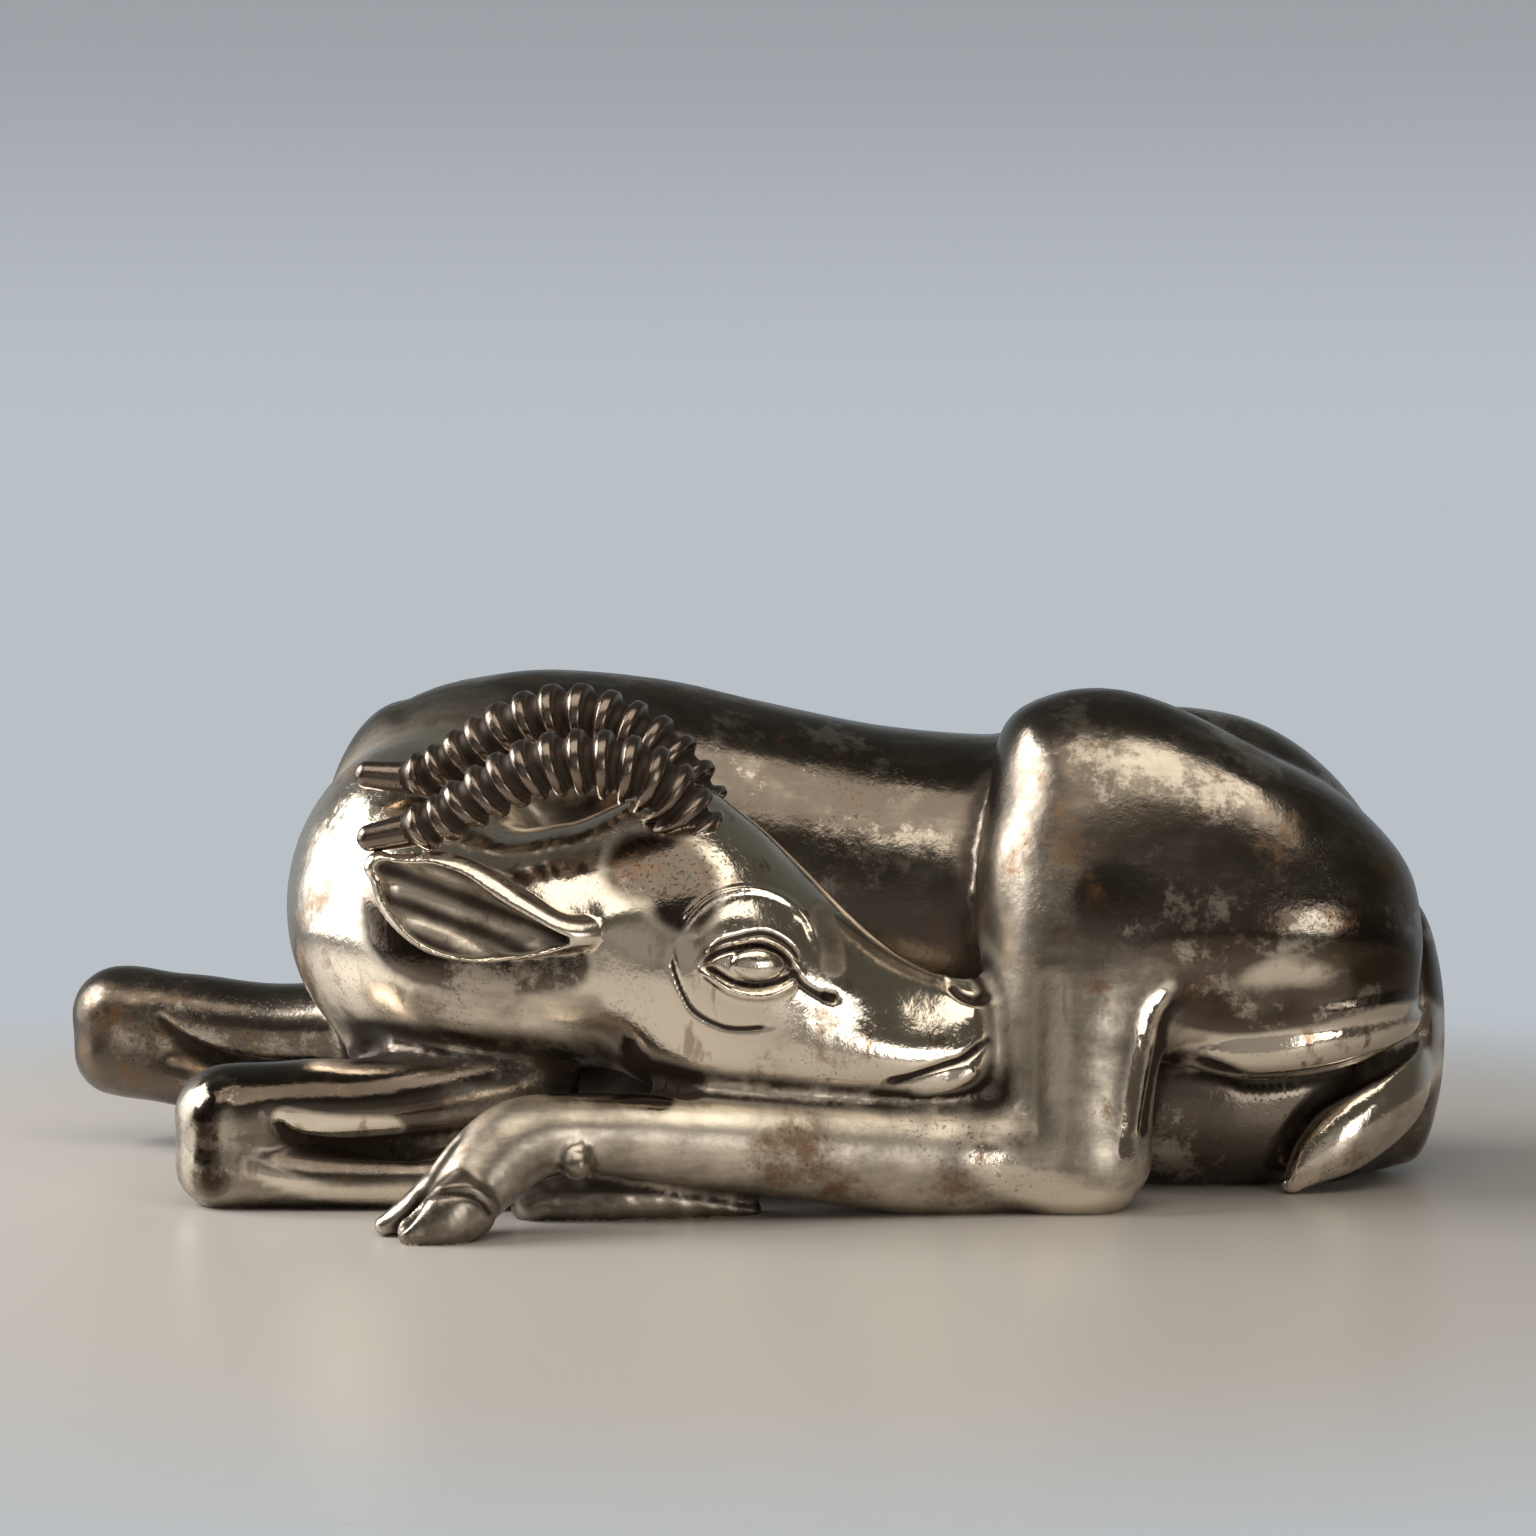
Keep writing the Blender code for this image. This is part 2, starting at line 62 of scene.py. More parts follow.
UP = np.array((0.0, 0.0, 1.0))
ALONG = np.array((1.0, 0.0, 0.0))
TO_VIEWER = np.array((0.0, -1.0, 0.0))

# Where the drawing's zero lies in the part's frame, as in the part's own source.
DATUM = np.array((0.0122, 0.0430, 0.0))

# The photograph is square, and its lens and horizon follow from the plinth's edges. The camera's
# place is in the drawing's frame.
PHOTO_SIDE = 1536
LENS_MM = 101.06
SENSOR_MM = 36.0
CAMERA_PITCH = math.radians(3.178)
CAMERA_PLACE = np.array((0.0, -2.0, 0.299))

# Each station is the centre x, y, z of a section, then its half width and its half height, all in
# millimetres in the drawing's frame.
TORSO = (
    (-162, 30, 112, 72, 107), (-135, 31, 114, 79, 115), (-105, 32, 114, 82, 119),
    (-65, 34, 113, 84, 116.5), (-20, 36, 108, 83, 111.5), (42, 38, 102, 82, 105),
    (100, 36, 99, 84, 103), (150, 30, 100, 86, 104),
)
RUMP = (
    (130, 18, 106, 78, 104), (180, 16, 107, 82, 109), (215, 12, 105, 80, 108),
    (240, 8, 100, 76, 103), (263, 4, 92, 68, 93), (283, 0, 80, 56, 80), (300, -2, 66, 38, 62),
)
NECK = (
    (-70, 45, 135, 60, 80), (-120, 22, 132, 62, 79), (-157, -30, 127, 63, 75),
    (-130, -78, 116, 56, 55), (-85, -98, 112, 50, 49), (-40, -104, 112, 46, 50),
)
BRISKET = (
    (-150, -30, 85, 40, 30), (-172, -55, 70, 22, 14), (-182, -68, 63, 7, 5),
)
SKULL = (
    (-88, -100, 121, 36, 44), (-60, -103, 125, 41, 56), (-32, -106, 122, 46, 66),
    (-6, -107, 111, 45, 59), (16, -108, 100.5, 40, 49), (38, -109, 90, 33, 38.5),
    (56, -110, 82.5, 27, 31), (74, -111, 78, 22, 26), (87, -111, 79, 18, 21),
)
JAW = (
    (-62, -114, 96, 22, 21), (-50, -119, 86.5, 26, 26.5), (-32, -122, 78, 28, 27.5),
    (0, -122, 74.5, 28, 25.5), (30, -121, 71.5, 26, 22.5), (58, -120, 68, 22, 20),
    (78, -118, 66, 18, 18),
)
EAR_ROOT = (
    (-77, -137, 124, 11, 8), (-66, -135, 125.5, 16, 14), (-50, -127, 126.5, 14, 13),
)
HAUNCH = (
    (148, -50, 227.4, 1.2, 1), (148.5, -50, 226.2, 12.8, 10.9), (149, -50, 222, 27, 23),
    (152, -49, 215, 41, 35), (161, -48, 202, 57, 49), (180, -48, 180, 79, 62),
    (193, -50, 150, 96.5, 70), (197, -52, 120, 101, 73), (200, -48, 92, 98, 66),
)
SHANK = (
    (146, -68, 165, 38, 36), (141, -78, 145, 41, 37), (138, -89, 115, 40, 36),
    (136, -101, 80, 36, 31), (134, -109, 50, 32, 28), (133, -114, 22, 31, 28),
)
TENDON = (
    (176, -98, 108, 6, 8), (171, -106, 90, 6, 9), (165, -110, 60, 6, 10), (160, -114, 20, 7, 14),
)
METATARSUS = (
    (142, -114, 22, 26, 24), (110, -116, 22, 25, 25), (60, -126, 24.5, 23, 24.5),
    (-3, -140, 32, 22, 21.5), (-55, -155, 38, 20, 18.5), (-86, -166, 41, 19, 16.5),
    (-106, -174, 38, 19, 18.5), (-120, -182, 27.5, 19.5, 18.5), (-131, -190, 16, 20, 16),
)
NEAR_CLAW = (
    (-126, -200, 15.5, 10.5, 15), (-136, -206, 9, 10.5, 13.5), (-148, -209, 4.5, 7, 7.5),
)
FAR_CLAW = (
    (-132, -182, 19, 9.5, 14), (-146, -186, 10.5, 9.5, 11), (-162, -189, 4.5, 5, 4.5),
)
DEWCLAW = (
    (-81, -178, 30, 7.5, 7.5), (-81, -184, 30, 7, 7),
)
SCRAP = (
    (-102, -142, 7, 11, 10), (-60, -138, 9, 13, 13), (-30, -132, 6, 12, 10), (-8, -128, 2, 8, 5),
)
NEAR_FOREARM = (
    (-240, -100, 40, 26, 20.5), (-205, -99, 43.5, 26, 20.5), (-170, -97, 45.5, 27, 20),
    (-110, -85, 55, 34, 26),
)
NEAR_CANNON = (
    (-240, -100, 18, 26, 20), (-190, -102, 13, 25, 15.5), (-90, -104, 13, 23, 15),
)
NEAR_KNEE = (
    (-236, -100, 41, 25, 26), (-236, -100, 18, 25, 26),
)
FAR_FOREARM = (
    (-317, 90, 63, 26, 21.5), (-280, 84, 62.5, 26, 20.5), (-230, 74, 59.5, 27, 20),
    (-150, 55, 62, 36, 28),
)
FAR_CANNON = (
    (-317, 90, 45, 26, 20), (-270, 84, 33, 24, 16.5), (-150, 70, 14, 22, 15),
)
FAR_KNEE = (
    (-312, 90, 66, 25, 26), (-312, 90, 44, 25, 26),
)
SHOULDER = (
    (-85, 78, 165, 36, 40), (-110, 80, 120, 40, 46), (-112, 74, 70, 40, 42),
)
FAR_THIGH = (
    (145, 76, 150, 36, 44), (180, 74, 128, 44, 62), (215, 60, 105, 46, 62), (240, 45, 85, 42, 50),
)
FAR_SHANK = (
    (140, 86, 145, 36, 26), (140, 96, 95, 34, 24), (150, 100, 50, 30, 24), (160, 100, 22, 26, 24),
)
FAR_METATARSUS = (
    (168, 100, 20, 22, 22), (110, 104, 19, 21, 21), (30, 108, 18, 19, 19), (-10, 110, 18, 20, 18),
    (-40, 110, 12, 20, 13),
)
SEAT = (
    (160, -24, 40, 46, 42), (210, -22, 38, 46, 42), (252, -16, 36, 42, 40),
)
BUTTOCK_FOLD = (
    (184, -90, 66, 12, 6), (215, -91, 68, 20, 14), (248, -82, 75, 24, 18), (274, -64, 79, 24, 14),
    (288, -49, 79, 14, 8),
)
TAIL = (
    (300, -18, 62, 12, 12), (288, -45, 45, 16, 19), (264, -64, 28, 13, 18), (246, -70, 15, 10, 12),
    (236, -72, 5, 6, 5),
)
# The horns' stations are centres only.
NEAR_HORN = (
    (-32, -116, 162), (-42, -125, 181.5), (-56, -132, 192.5), (-76, -136, 197.5),
    (-100, -138, 195.5), (-124, -138, 184), (-145, -138, 171.5), (-178, -137, 164),
)
FAR_HORN = (
    (-30, -86, 170), (-42, -87, 192), (-60, -88, 207), (-85, -89, 216), (-110, -88, 212),
    (-134, -86, 199), (-155, -85, 189), (-184, -84, 190),
)


def smooth_curve(stations, step):
    """Catmull-Rom curve through the stations, every column alike, sampled about one step apart."""
    rows = np.asarray(stations, float)
    rows = np.vstack((2 * rows[0] - rows[1], rows, 2 * rows[-1] - rows[-2]))
    spans = np.linalg.norm(np.diff(rows[1:-1, :3], axis=0), axis=1)
    counts = np.maximum(2, np.rint(spans / step)).astype(int)
    span = np.repeat(np.arange(len(counts)), counts)
    first = np.repeat(np.cumsum(counts) - counts, counts)
    t = ((np.arange(counts.sum()) - first) / counts[span])[:, None]
    a, b, c, d = (rows[span + i] for i in range(4))
    curve = 0.5 * (2 * b + (c - a) * t + (2 * a - 5 * b + 4 * c - d) * t**2 + (3 * b - a - 3 * c + d) * t**3)
    return np.vstack((curve, rows[-2]))


def unit(vectors):
    """Vectors of length 1 along the given ones."""
    return vectors / np.linalg.norm(vectors, axis=-1, keepdims=True)


def turned(vectors, axis, angle):
    """Vectors turned about an axis square to them, by cos v + sin (axis x v)."""
    return vectors * math.cos(angle) + np.cross(axis, vectors) * math.sin(angle)


class Form:
    """A limb: superellipses |u/a|^n + |v/b|^n = 1 along a smooth spine, with ellipsoid ends."""

    STEP = 0.003
    SIDES = 48
    CAP_RINGS = 8
    BOX_SHARE = 1.1
    BOX_MARGIN = 0.012

    def __init__(self, stations, blend, upward=UP, power=2.0, roundness=1.0, roll=0.0, facing=None):
        rows = smooth_curve(np.array(stations) / 1000, self.STEP)
        self.centre = rows[:, :3] + DATUM
        self.half = np.abs(rows[:, 3:5])
        self.power = power
        self.blend = blend
        along = np.gradient(self.centre, axis=0)
        self.along = unit(along if facing is None else np.broadcast_to(facing, along.shape).copy())
        side = unit(np.cross(self.along, upward))
        top = np.cross(side, self.along)
        self.side = turned(side, self.along, roll)
        self.top = turned(top, self.along, roll)
        steps = np.diff(self.centre, axis=0)
        self.gap = np.linalg.norm(steps, axis=1) if facing is None else steps @ facing
        self.reach = (self.half[0].min() * roundness, self.half[-1].min() * roundness)
        self.facing = facing
        margin = self.half.max() * self.BOX_SHARE + blend + self.BOX_MARGIN
        self.low = self.centre.min(axis=0) - margin
        self.high = self.centre.max(axis=0) + margin

    def near(self, points):
        """Which points lie in the box that holds the limb and its blend."""
        return np.flatnonzero(((points > self.low) & (points < self.high)).all(axis=1))

    def mesh(self):
        """Rings of points with quads between them, narrowed to a pole at both ends."""
        angle = np.pi / 2 * np.arange(1, self.CAP_RINGS) / self.CAP_RINGS
        ends = unit(np.array((self.centre[0] - self.centre[1], self.centre[-1] - self.centre[-2])))

        def cap(i, way, reach):
            centre = self.centre[i] + np.outer(np.sin(angle), way) * reach
            half = np.outer(np.cos(angle), self.half[i])
            same = [np.repeat(v[i][None], len(angle), axis=0) for v in (self.side, self.top)]
            return centre, half, *same

        first = [v[::-1] for v in cap(0, ends[0], self.reach[0])]
        last = cap(-1, ends[1], self.reach[1])
        middle = (self.centre, self.half, self.side, self.top)
        centre, half, side, top = (np.vstack(v) for v in zip(first, middle, last))
        turn = 2 * np.pi * np.arange(self.SIDES) / self.SIDES
        c, s = np.cos(turn), np.sin(turn)
        across = np.sign(c) * np.abs(c) ** (2 / self.power)
        rise = np.sign(s) * np.abs(s) ** (2 / self.power)
        points = ring_points(centre, side, half[:, :1] * across, top, half[:, 1:] * rise)
        poles = self.centre[[0, -1]] + ends * np.array(self.reach)[:, None]
        return tube(points, *poles)

    def place_along(self, points):
        """Which section each point lies in, counted in samples, and beyond the ends for the caps.

        With level or upright sections it follows from one coordinate. Otherwise the point is dropped
        onto the two spans beside the nearest sample."""
        if self.facing is not None:
            order = self.centre @ self.facing
            level = points @ self.facing
            place = np.interp(level, order, np.arange(len(order)))
            place += np.minimum(level - order[0], 0) / self.gap[0]
            return place + np.maximum(level - order[-1], 0) / self.gap[-1]
        last = len(self.centre) - 1
        nearest = ((self.centre**2).sum(axis=1) - 2 * points @ self.centre.T).argmin(axis=1)
        offset = points - self.centre[nearest]
        spans = np.diff(self.centre, axis=0)
        spans /= (spans**2).sum(axis=1, keepdims=True)
        ahead = (offset * spans[np.minimum(nearest, last - 1)]).sum(axis=1)
        behind = (offset * spans[np.maximum(nearest - 1, 0)]).sum(axis=1)
        ahead = np.where(nearest == last, behind, np.minimum(ahead, 1))
        behind = np.where(nearest == 0, ahead, np.maximum(behind, -1))
        return nearest + np.where(ahead > 0, ahead, np.minimum(behind, 0))

    def distance(self, points):
        """Roughly the signed distance to the limb's skin, along the ray from the section's centre."""
        last = len(self.centre) - 1
        place = self.place_along(points)
        held = np.clip(place, 0, last)
        beyond = np.abs(place - held) * np.where(place < 0, self.gap[0], self.gap[-1])
        low = np.minimum(held.astype(int), last - 1)
        share = (held - low)[:, None]

        def between(values):
            return values[low] * (1 - share) + values[low + 1] * share

        offset = points - between(self.centre)
        u = np.abs((offset * between(self.side)).sum(axis=1))
        v = np.abs((offset * between(self.top)).sum(axis=1))
        half = between(self.half)
        ratio = (u / half[:, 0]) ** self.power + (v / half[:, 1]) ** self.power
        ratio = ratio ** (2 / self.power)
        reach = np.where(place < 0, self.reach[0], self.reach[1])
        ratio = np.sqrt(ratio + (beyond / reach) ** 2 + 1e-12)
        radial = np.sqrt(u**2 + v**2 + beyond**2)
        return radial - radial / ratio


def ring_points(centre, side, across, top, rise):
    """Points of the sections: centre + across * side + rise * top."""
    return centre[:, None] + side[:, None] * across[..., None] + top[:, None] * rise[..., None]


def tube(rings, first_pole, last_pole):
    """Points and faces of a closed skin over rings of points, with a fan at each pole.

    Six times the enclosed volume is the sum of a . (b x c): where that is negative, the faces point
    inwards and are turned round."""
    count, sides = rings.shape[:2]
    points = np.vstack((rings.reshape(-1, 3), first_pole, last_pole))
    index = np.arange(count * sides).reshape(count, sides)
    a, b = index[:-1], index[1:]
    quads = np.stack((a, b, np.roll(b, -1, 1), np.roll(a, -1, 1)), axis=-1).reshape(-1, 4)
    start, end = count * sides, count * sides + 1
    fans = np.vstack((
        np.stack((np.full(sides, start), index[0], np.roll(index[0], -1)), axis=-1),
        np.stack((np.full(sides, end), np.roll(index[-1], -1), index[-1]), axis=-1),
    ))
    triangles = np.vstack((quads[:, :3], quads[:, [0, 2, 3]], fans))
    a, b, c = (points[triangles[:, i]] for i in range(3))
    if (a * np.cross(b, c)).sum() < 0:
        quads, fans = quads[:, ::-1], fans[:, ::-1]
    return points, quads, fans


def forms():
    """The limbs in the order in which they are joined, each with its blend in metres."""
    return {
        "torso": Form(TORSO, 0.010, power=2.2, roundness=0.7),
        "rump": Form(RUMP, 0.020, power=2.1, roundness=0.5, facing=ALONG),
        "shoulder": Form(SHOULDER, 0.030, upward=TO_VIEWER),
        "far_thigh": Form(FAR_THIGH, 0.030),
        "far_shank": Form(FAR_SHANK, 0.012, upward=TO_VIEWER),
        "far_metatarsus": Form(FAR_METATARSUS, 0.004),
        "seat": Form(SEAT, 0.012, power=2.5),
        "neck": Form(NECK, 0.020),
        "brisket": Form(BRISKET, 0.024),
        "far_forearm": Form(FAR_FOREARM, 0.010),
        "far_cannon": Form(FAR_CANNON, 0.009),
        "far_knee": Form(FAR_KNEE, 0.012, upward=TO_VIEWER, roundness=0.75),
        "near_forearm": Form(NEAR_FOREARM, 0.010),
        "near_cannon": Form(NEAR_CANNON, 0.009),
        "near_knee": Form(NEAR_KNEE, 0.012, upward=TO_VIEWER, roundness=0.75),
        "haunch": Form(HAUNCH, 0.006, upward=TO_VIEWER, power=2.5, roundness=0.55, facing=-UP),
        "skull": Form(SKULL, 0.036, roundness=0.6, roll=math.radians(-20), facing=ALONG),
        "jaw": Form(JAW, 0.012),
        "ear_root": Form(EAR_ROOT, 0.014),
        "shank": Form(SHANK, 0.030, upward=TO_VIEWER, power=2.3),
        "metatarsus": Form(METATARSUS, 0.012),
        "tendon": Form(TENDON, 0.010, upward=TO_VIEWER),
        "near_claw": Form(NEAR_CLAW, 0.003),
        "far_claw": Form(FAR_CLAW, 0.003),
        "dewclaw": Form(DEWCLAW, 0.003),
        "scrap": Form(SCRAP, 0.003),
        "buttock_fold": Form(BUTTOCK_FOLD, 0.006),
        "tail": Form(TAIL, 0.003),
    }


def smooth_least(a, b, blend):
    """The smaller of two distances, rounded by a cubic where they come within the blend."""
    near = np.maximum(blend - np.abs(a - b), 0) / blend
    return np.minimum(a, b) - near**3 * blend / 6


FAR_OFF = 0.05


def body_distance(points, limbs):
    """The joined limbs' signed distance at each point, near a limb's box only."""
    found = np.full(len(points), FAR_OFF)
    for limb in limbs.values():
        near = limb.near(points)
        found[near] = smooth_least(found[near], limb.distance(points[near]), limb.blend)
    return found


def face_normals(points, faces):
    """Normals of triangles, each as long as twice its area."""
    a, b, c = (points[faces[:, i]] for i in range(3))
    return np.cross(b - a, c - a)


def gathered(faces, values, count):
    """At each point, the sum of the vectors of the faces round it."""
    total = np.zeros((count, 3))
    for i in range(3):
        for k in range(3):
            total[:, k] += np.bincount(faces[:, i], values[:, k], minlength=count)
    return total


def corner_normals(points, faces):
    """Unit normals at the points of a triangle mesh, weighted by area."""
    return unit(gathered(faces, face_normals(points, faces), len(points)) + 1e-20)


def new_mesh(name, points, *face_groups):
    """A mesh from points and arrays of triangles or quads."""
    mesh = bpy.data.meshes.new(name)
    groups = [np.asarray(g) for g in face_groups if len(g)]
    corners = np.concatenate([g.reshape(-1) for g in groups])
    sizes = np.concatenate([np.full(len(g), g.shape[1]) for g in groups])
    mesh.vertices.add(len(points))
    mesh.vertices.foreach_set("co", np.asarray(points, np.float32).ravel())
    mesh.loops.add(len(corners))
    mesh.loops.foreach_set("vertex_index", corners.astype(np.int32))
    mesh.polygons.add(len(sizes))
    mesh.polygons.foreach_set("loop_start", (np.cumsum(sizes) - sizes).astype(np.int32))
    mesh.update(calc_edges=True)
    mesh.validate()
    return mesh


def linked(name, mesh):
    """An object with this mesh, put in the scene."""
    made = bpy.data.objects.new(name, mesh)
    bpy.context.scene.collection.objects.link(made)
    return made


def first_skin(distance, low, high, step):
    """A rough closed skin where the distance changes sign on a grid.

    Every grid edge that crosses the surface gives a square between the middles of the four cells
    round it, turned to face outwards. A voxel remesh then makes it a clean solid."""
    axes = [np.arange(a - 2 * step, b + 3 * step, step) for a, b in zip(low, high)]
    grid = np.stack(np.meshgrid(*axes, indexing="ij"), axis=-1)
    inside = distance(grid.reshape(-1, 3)).reshape(grid.shape[:3]) < 0
    quads = []
    for axis in range(3):
        here = np.moveaxis(inside, axis, 0)
        cells = np.moveaxis(np.arange(inside.size).reshape(inside.shape), axis, 0)
        i, j, k = np.nonzero(here[:-1] != here[1:])
        ring = np.stack([cells[i, j + b, k + c] for b, c in ((-1, -1), (0, -1), (0, 0), (-1, 0))], axis=1)
        outward = here[i, j, k] == (axis != 1)
        quads.append(np.where(outward[:, None], ring, ring[:, ::-1]))
    used, corners = np.unique(np.vstack(quads), return_inverse=True)
    points = grid.reshape(-1, 3)[used] + step / 2
    return remeshed(new_mesh("rough", points, corners.reshape(-1, 4)), step)


def remeshed(mesh, voxel):
    """Points and triangles of a voxel remesh."""
    rough = linked("rough", mesh)
    fuse = rough.modifiers.new("fuse", "REMESH")
    fuse.mode = "VOXEL"
    fuse.voxel_size = voxel
    found = points_and_triangles(rough.evaluated_get(bpy.context.evaluated_depsgraph_get()).to_mesh())
    bpy.data.objects.remove(rough)
    return found


def points_and_triangles(mesh):
    """The mesh as one array of points and one of triangles."""
    mesh.calc_loop_triangles()
    points = np.empty(len(mesh.vertices) * 3, np.float32)
    mesh.vertices.foreach_get("co", points)
    faces = np.empty(len(mesh.loop_triangles) * 3, np.int32)
    mesh.loop_triangles.foreach_get("vertices", faces)
    return points.reshape(-1, 3).astype(float), faces.reshape(-1, 3)


def relaxed(points, faces, share):
    """Each point moved part of the way to the mean of its neighbours."""
    a = faces.reshape(-1)
    b = np.roll(faces, -1, axis=1).reshape(-1)
    count = np.bincount(a, minlength=len(points)) + np.bincount(b, minlength=len(points))
    mean = np.empty_like(points)
    for k in range(points.shape[1]):
        total = np.bincount(a, points[b, k], minlength=len(points))
        mean[:, k] = (total + np.bincount(b, points[a, k], minlength=len(points))) / count
    return points + (mean - points) * share


def slope(points, distance, step):
    """Gradient of a distance by steps either way along x, y and z.

    Between two walls that face each other the steps cancel, and what is left points out of the gap."""
    ways = np.eye(3) * step
    return np.stack([distance(points + way) - distance(points - way) for way in ways], axis=1) / (2 * step)


LEAST_STEEPNESS = 0.6
LONGEST_MOVE = 0.003


def carried(points, faces, distance, rounds, step):
    """Points moved down the distance's own slope onto its surface, and evened out between moves."""
    for turn in range(rounds):
        if turn < rounds - 1:
            points = relaxed(points, faces, 0.5)
        down = slope(points, distance, step)
        steep = np.maximum((down**2).sum(axis=1), LEAST_STEEPNESS)
        points = points - down * np.clip(distance(points) / steep, -LONGEST_MOVE, LONGEST_MOVE)[:, None]
    return points


# The mean of the face normals round a point is this long or longer where the skin is smooth.
SMOOTH_AGREEMENT = 0.93
AGREEMENT_RANGE = 0.10


def unruffled(points, faces, rounds):
    """Points evened out only where the faces round them disagree, as at the bottom of a crevice."""
    count = np.bincount(faces.reshape(-1), minlength=len(points))
    for _ in range(rounds):
        total = gathered(faces, unit(face_normals(points, faces) + 1e-20), len(points))
        agreement = np.linalg.norm(total, axis=1) / count
        ruffle = np.clip((SMOOTH_AGREEMENT - agreement) / AGREEMENT_RANGE, 0, 1)
        ruffle = np.maximum(ruffle, relaxed(ruffle[:, None], faces, 1.0)[:, 0])
        points = points + (relaxed(points, faces, 0.7) - points) * ruffle[:, None]
    return points


DRAWN_DEPTH = 0.08
CAD_MARGIN = 0.0002


def drawn_in(points):
    """Points near each side of the part's box, moved inwards until the farthest lies within it."""
    points = points.copy()
    for axis in range(3):
        for side, limit in ((-1, CAD_LOW[axis]), (1, CAD_HIGH[axis])):
            beyond = side * (points[:, axis] - limit)
            over = beyond.max() + CAD_MARGIN
            if over > 0 and (axis, side) != (2, -1):
                points[:, axis] -= side * over * np.clip(1 + beyond / DRAWN_DEPTH, 0, 1) ** 2
    return points


def split_up(faces, middles):
    """Triangles cut at the new points on their edges, which are -1 where an edge stays whole."""
    marks = (middles >= 0).sum(axis=1)
    first = np.argmax(middles >= 0, axis=1)
    whole = np.argmin(middles >= 0, axis=1)
    shift = np.where(marks == 1, first, np.where(marks == 2, (whole + 1) % 3, 0))
    order = (np.arange(3) + shift[:, None]) % 3
    a, b, c = np.take_along_axis(faces, order, axis=1).T
    p, q, r = np.take_along_axis(middles, order, axis=1).T
    pieces = {
        0: ((a, b, c),),
        1: ((a, p, c), (p, b, c)),
        2: ((p, b, q), (a, p, q), (a, q, c)),
        3: ((a, p, r), (p, b, q), (r, q, c), (p, q, r)),
    }
    return np.vstack([
        np.stack(triangle, axis=1)[marks == count] for count, group in pieces.items() for triangle in group
    ])


REFINING_ROUNDS = 4
FINEST_EDGE = 0.0014
BEND_GAIN = 2.5
LEAST_SHARE = 0.3


def refined(points, faces, longest):
    """Halves each edge that is longer than is wanted at its place, and sooner where the skin bends."""
    for _ in range(REFINING_ROUNDS):
        normals = corner_normals(points, faces)
        ends = np.stack((faces, np.roll(faces, -1, axis=1)), axis=-1).reshape(-1, 2)
        ends.sort(axis=1)
        total = len(points)
        keys, inverse = np.unique(ends[:, 0].astype(np.int64) * total + ends[:, 1], return_inverse=True)
        a, b = keys // total, keys % total
        middle = (points[a] + points[b]) / 2
        bend = 1 - (normals[a] * normals[b]).sum(axis=1)
        share = np.clip(1.1 - BEND_GAIN * bend, LEAST_SHARE, 1)
        wanted = np.maximum(longest(middle) * share, FINEST_EDGE)
        cut = np.linalg.norm(points[a] - points[b], axis=1) > wanted
        if not cut.any():
            break
        number = np.full(len(keys), -1)
        number[cut] = total + np.arange(cut.sum())
        points = np.vstack((points, middle[cut]))
        faces = split_up(faces, number[inverse].reshape(-1, 3))
    return points, faces


# Where the skin is finer: lowest corner and highest corner in the drawing's frame, then edge length.
COARSEST_EDGE = 0.0080
FINE_PLACES = (
    ((-0.075, -0.170, 0.050), (0.110, -0.085, 0.180), 0.0040),
    ((-0.043, -0.170, 0.078), (0.034, -0.125, 0.148), 0.0011),
    ((0.048, -0.170, 0.050), (0.105, -0.100, 0.102), 0.0016),
    ((-0.172, -0.230, -0.010), (-0.110, -0.165, 0.060), 0.0020),
    ((0.190, -0.110, -0.005), (0.320, -0.010, 0.110), 0.0040),
    ((-0.118, -0.165, -0.005), (0.004, -0.118, 0.023), 0.0030),
    ((0.130, -0.150, 0.000), (0.180, -0.080, 0.110), 0.0040),
    ((-0.225, -0.135, 0.015), (-0.140, -0.100, 0.050), 0.0032),
    ((-0.290, 0.045, 0.020), (-0.180, 0.075, 0.070), 0.0040),
)


def edge_wanted(points):
    """The longest edge that is wanted at each point."""
    wanted = np.full(len(points), COARSEST_EDGE)
    place = points - DATUM
    for low, high, edge in FINE_PLACES:
        inside = ((place > low) & (place < high)).all(axis=1)
        wanted[inside] = np.minimum(wanted[inside], edge)
    return wanted


def in_photo(points):
    """Where the camera sees each point, in pixels of the square photograph, y downwards."""
    away = points - DATUM - CAMERA_PLACE
    c, s = math.cos(CAMERA_PITCH), math.sin(CAMERA_PITCH)
    depth = away @ np.array((0.0, c, -s))
    rise = away @ np.array((0.0, s, c))
    focal = LENS_MM / SENSOR_MM * PHOTO_SIDE
    middle = PHOTO_SIDE / 2
    return np.stack((middle + focal * away[:, 0] / depth, middle - focal * rise / depth), axis=1)


def path_distance(pixels, path):
    """Distance to a smooth curve through the path's points, and the share of its length passed."""
    curve = smooth_curve(path, 4.0)
    start, way = curve[:-1], np.diff(curve, axis=0)
    length = np.linalg.norm(way, axis=1)
    offset = pixels[:, None] - start
    share = np.clip((offset * way).sum(axis=-1) / length**2, 0, 1)
    gap = np.linalg.norm(offset - share[..., None] * way, axis=-1)
    nearest = gap.argmin(axis=1)
    row = np.arange(len(pixels))
    passed = (np.cumsum(length) - length)[nearest] + share[row, nearest] * length[nearest]
    return gap[row, nearest], passed / length.sum()


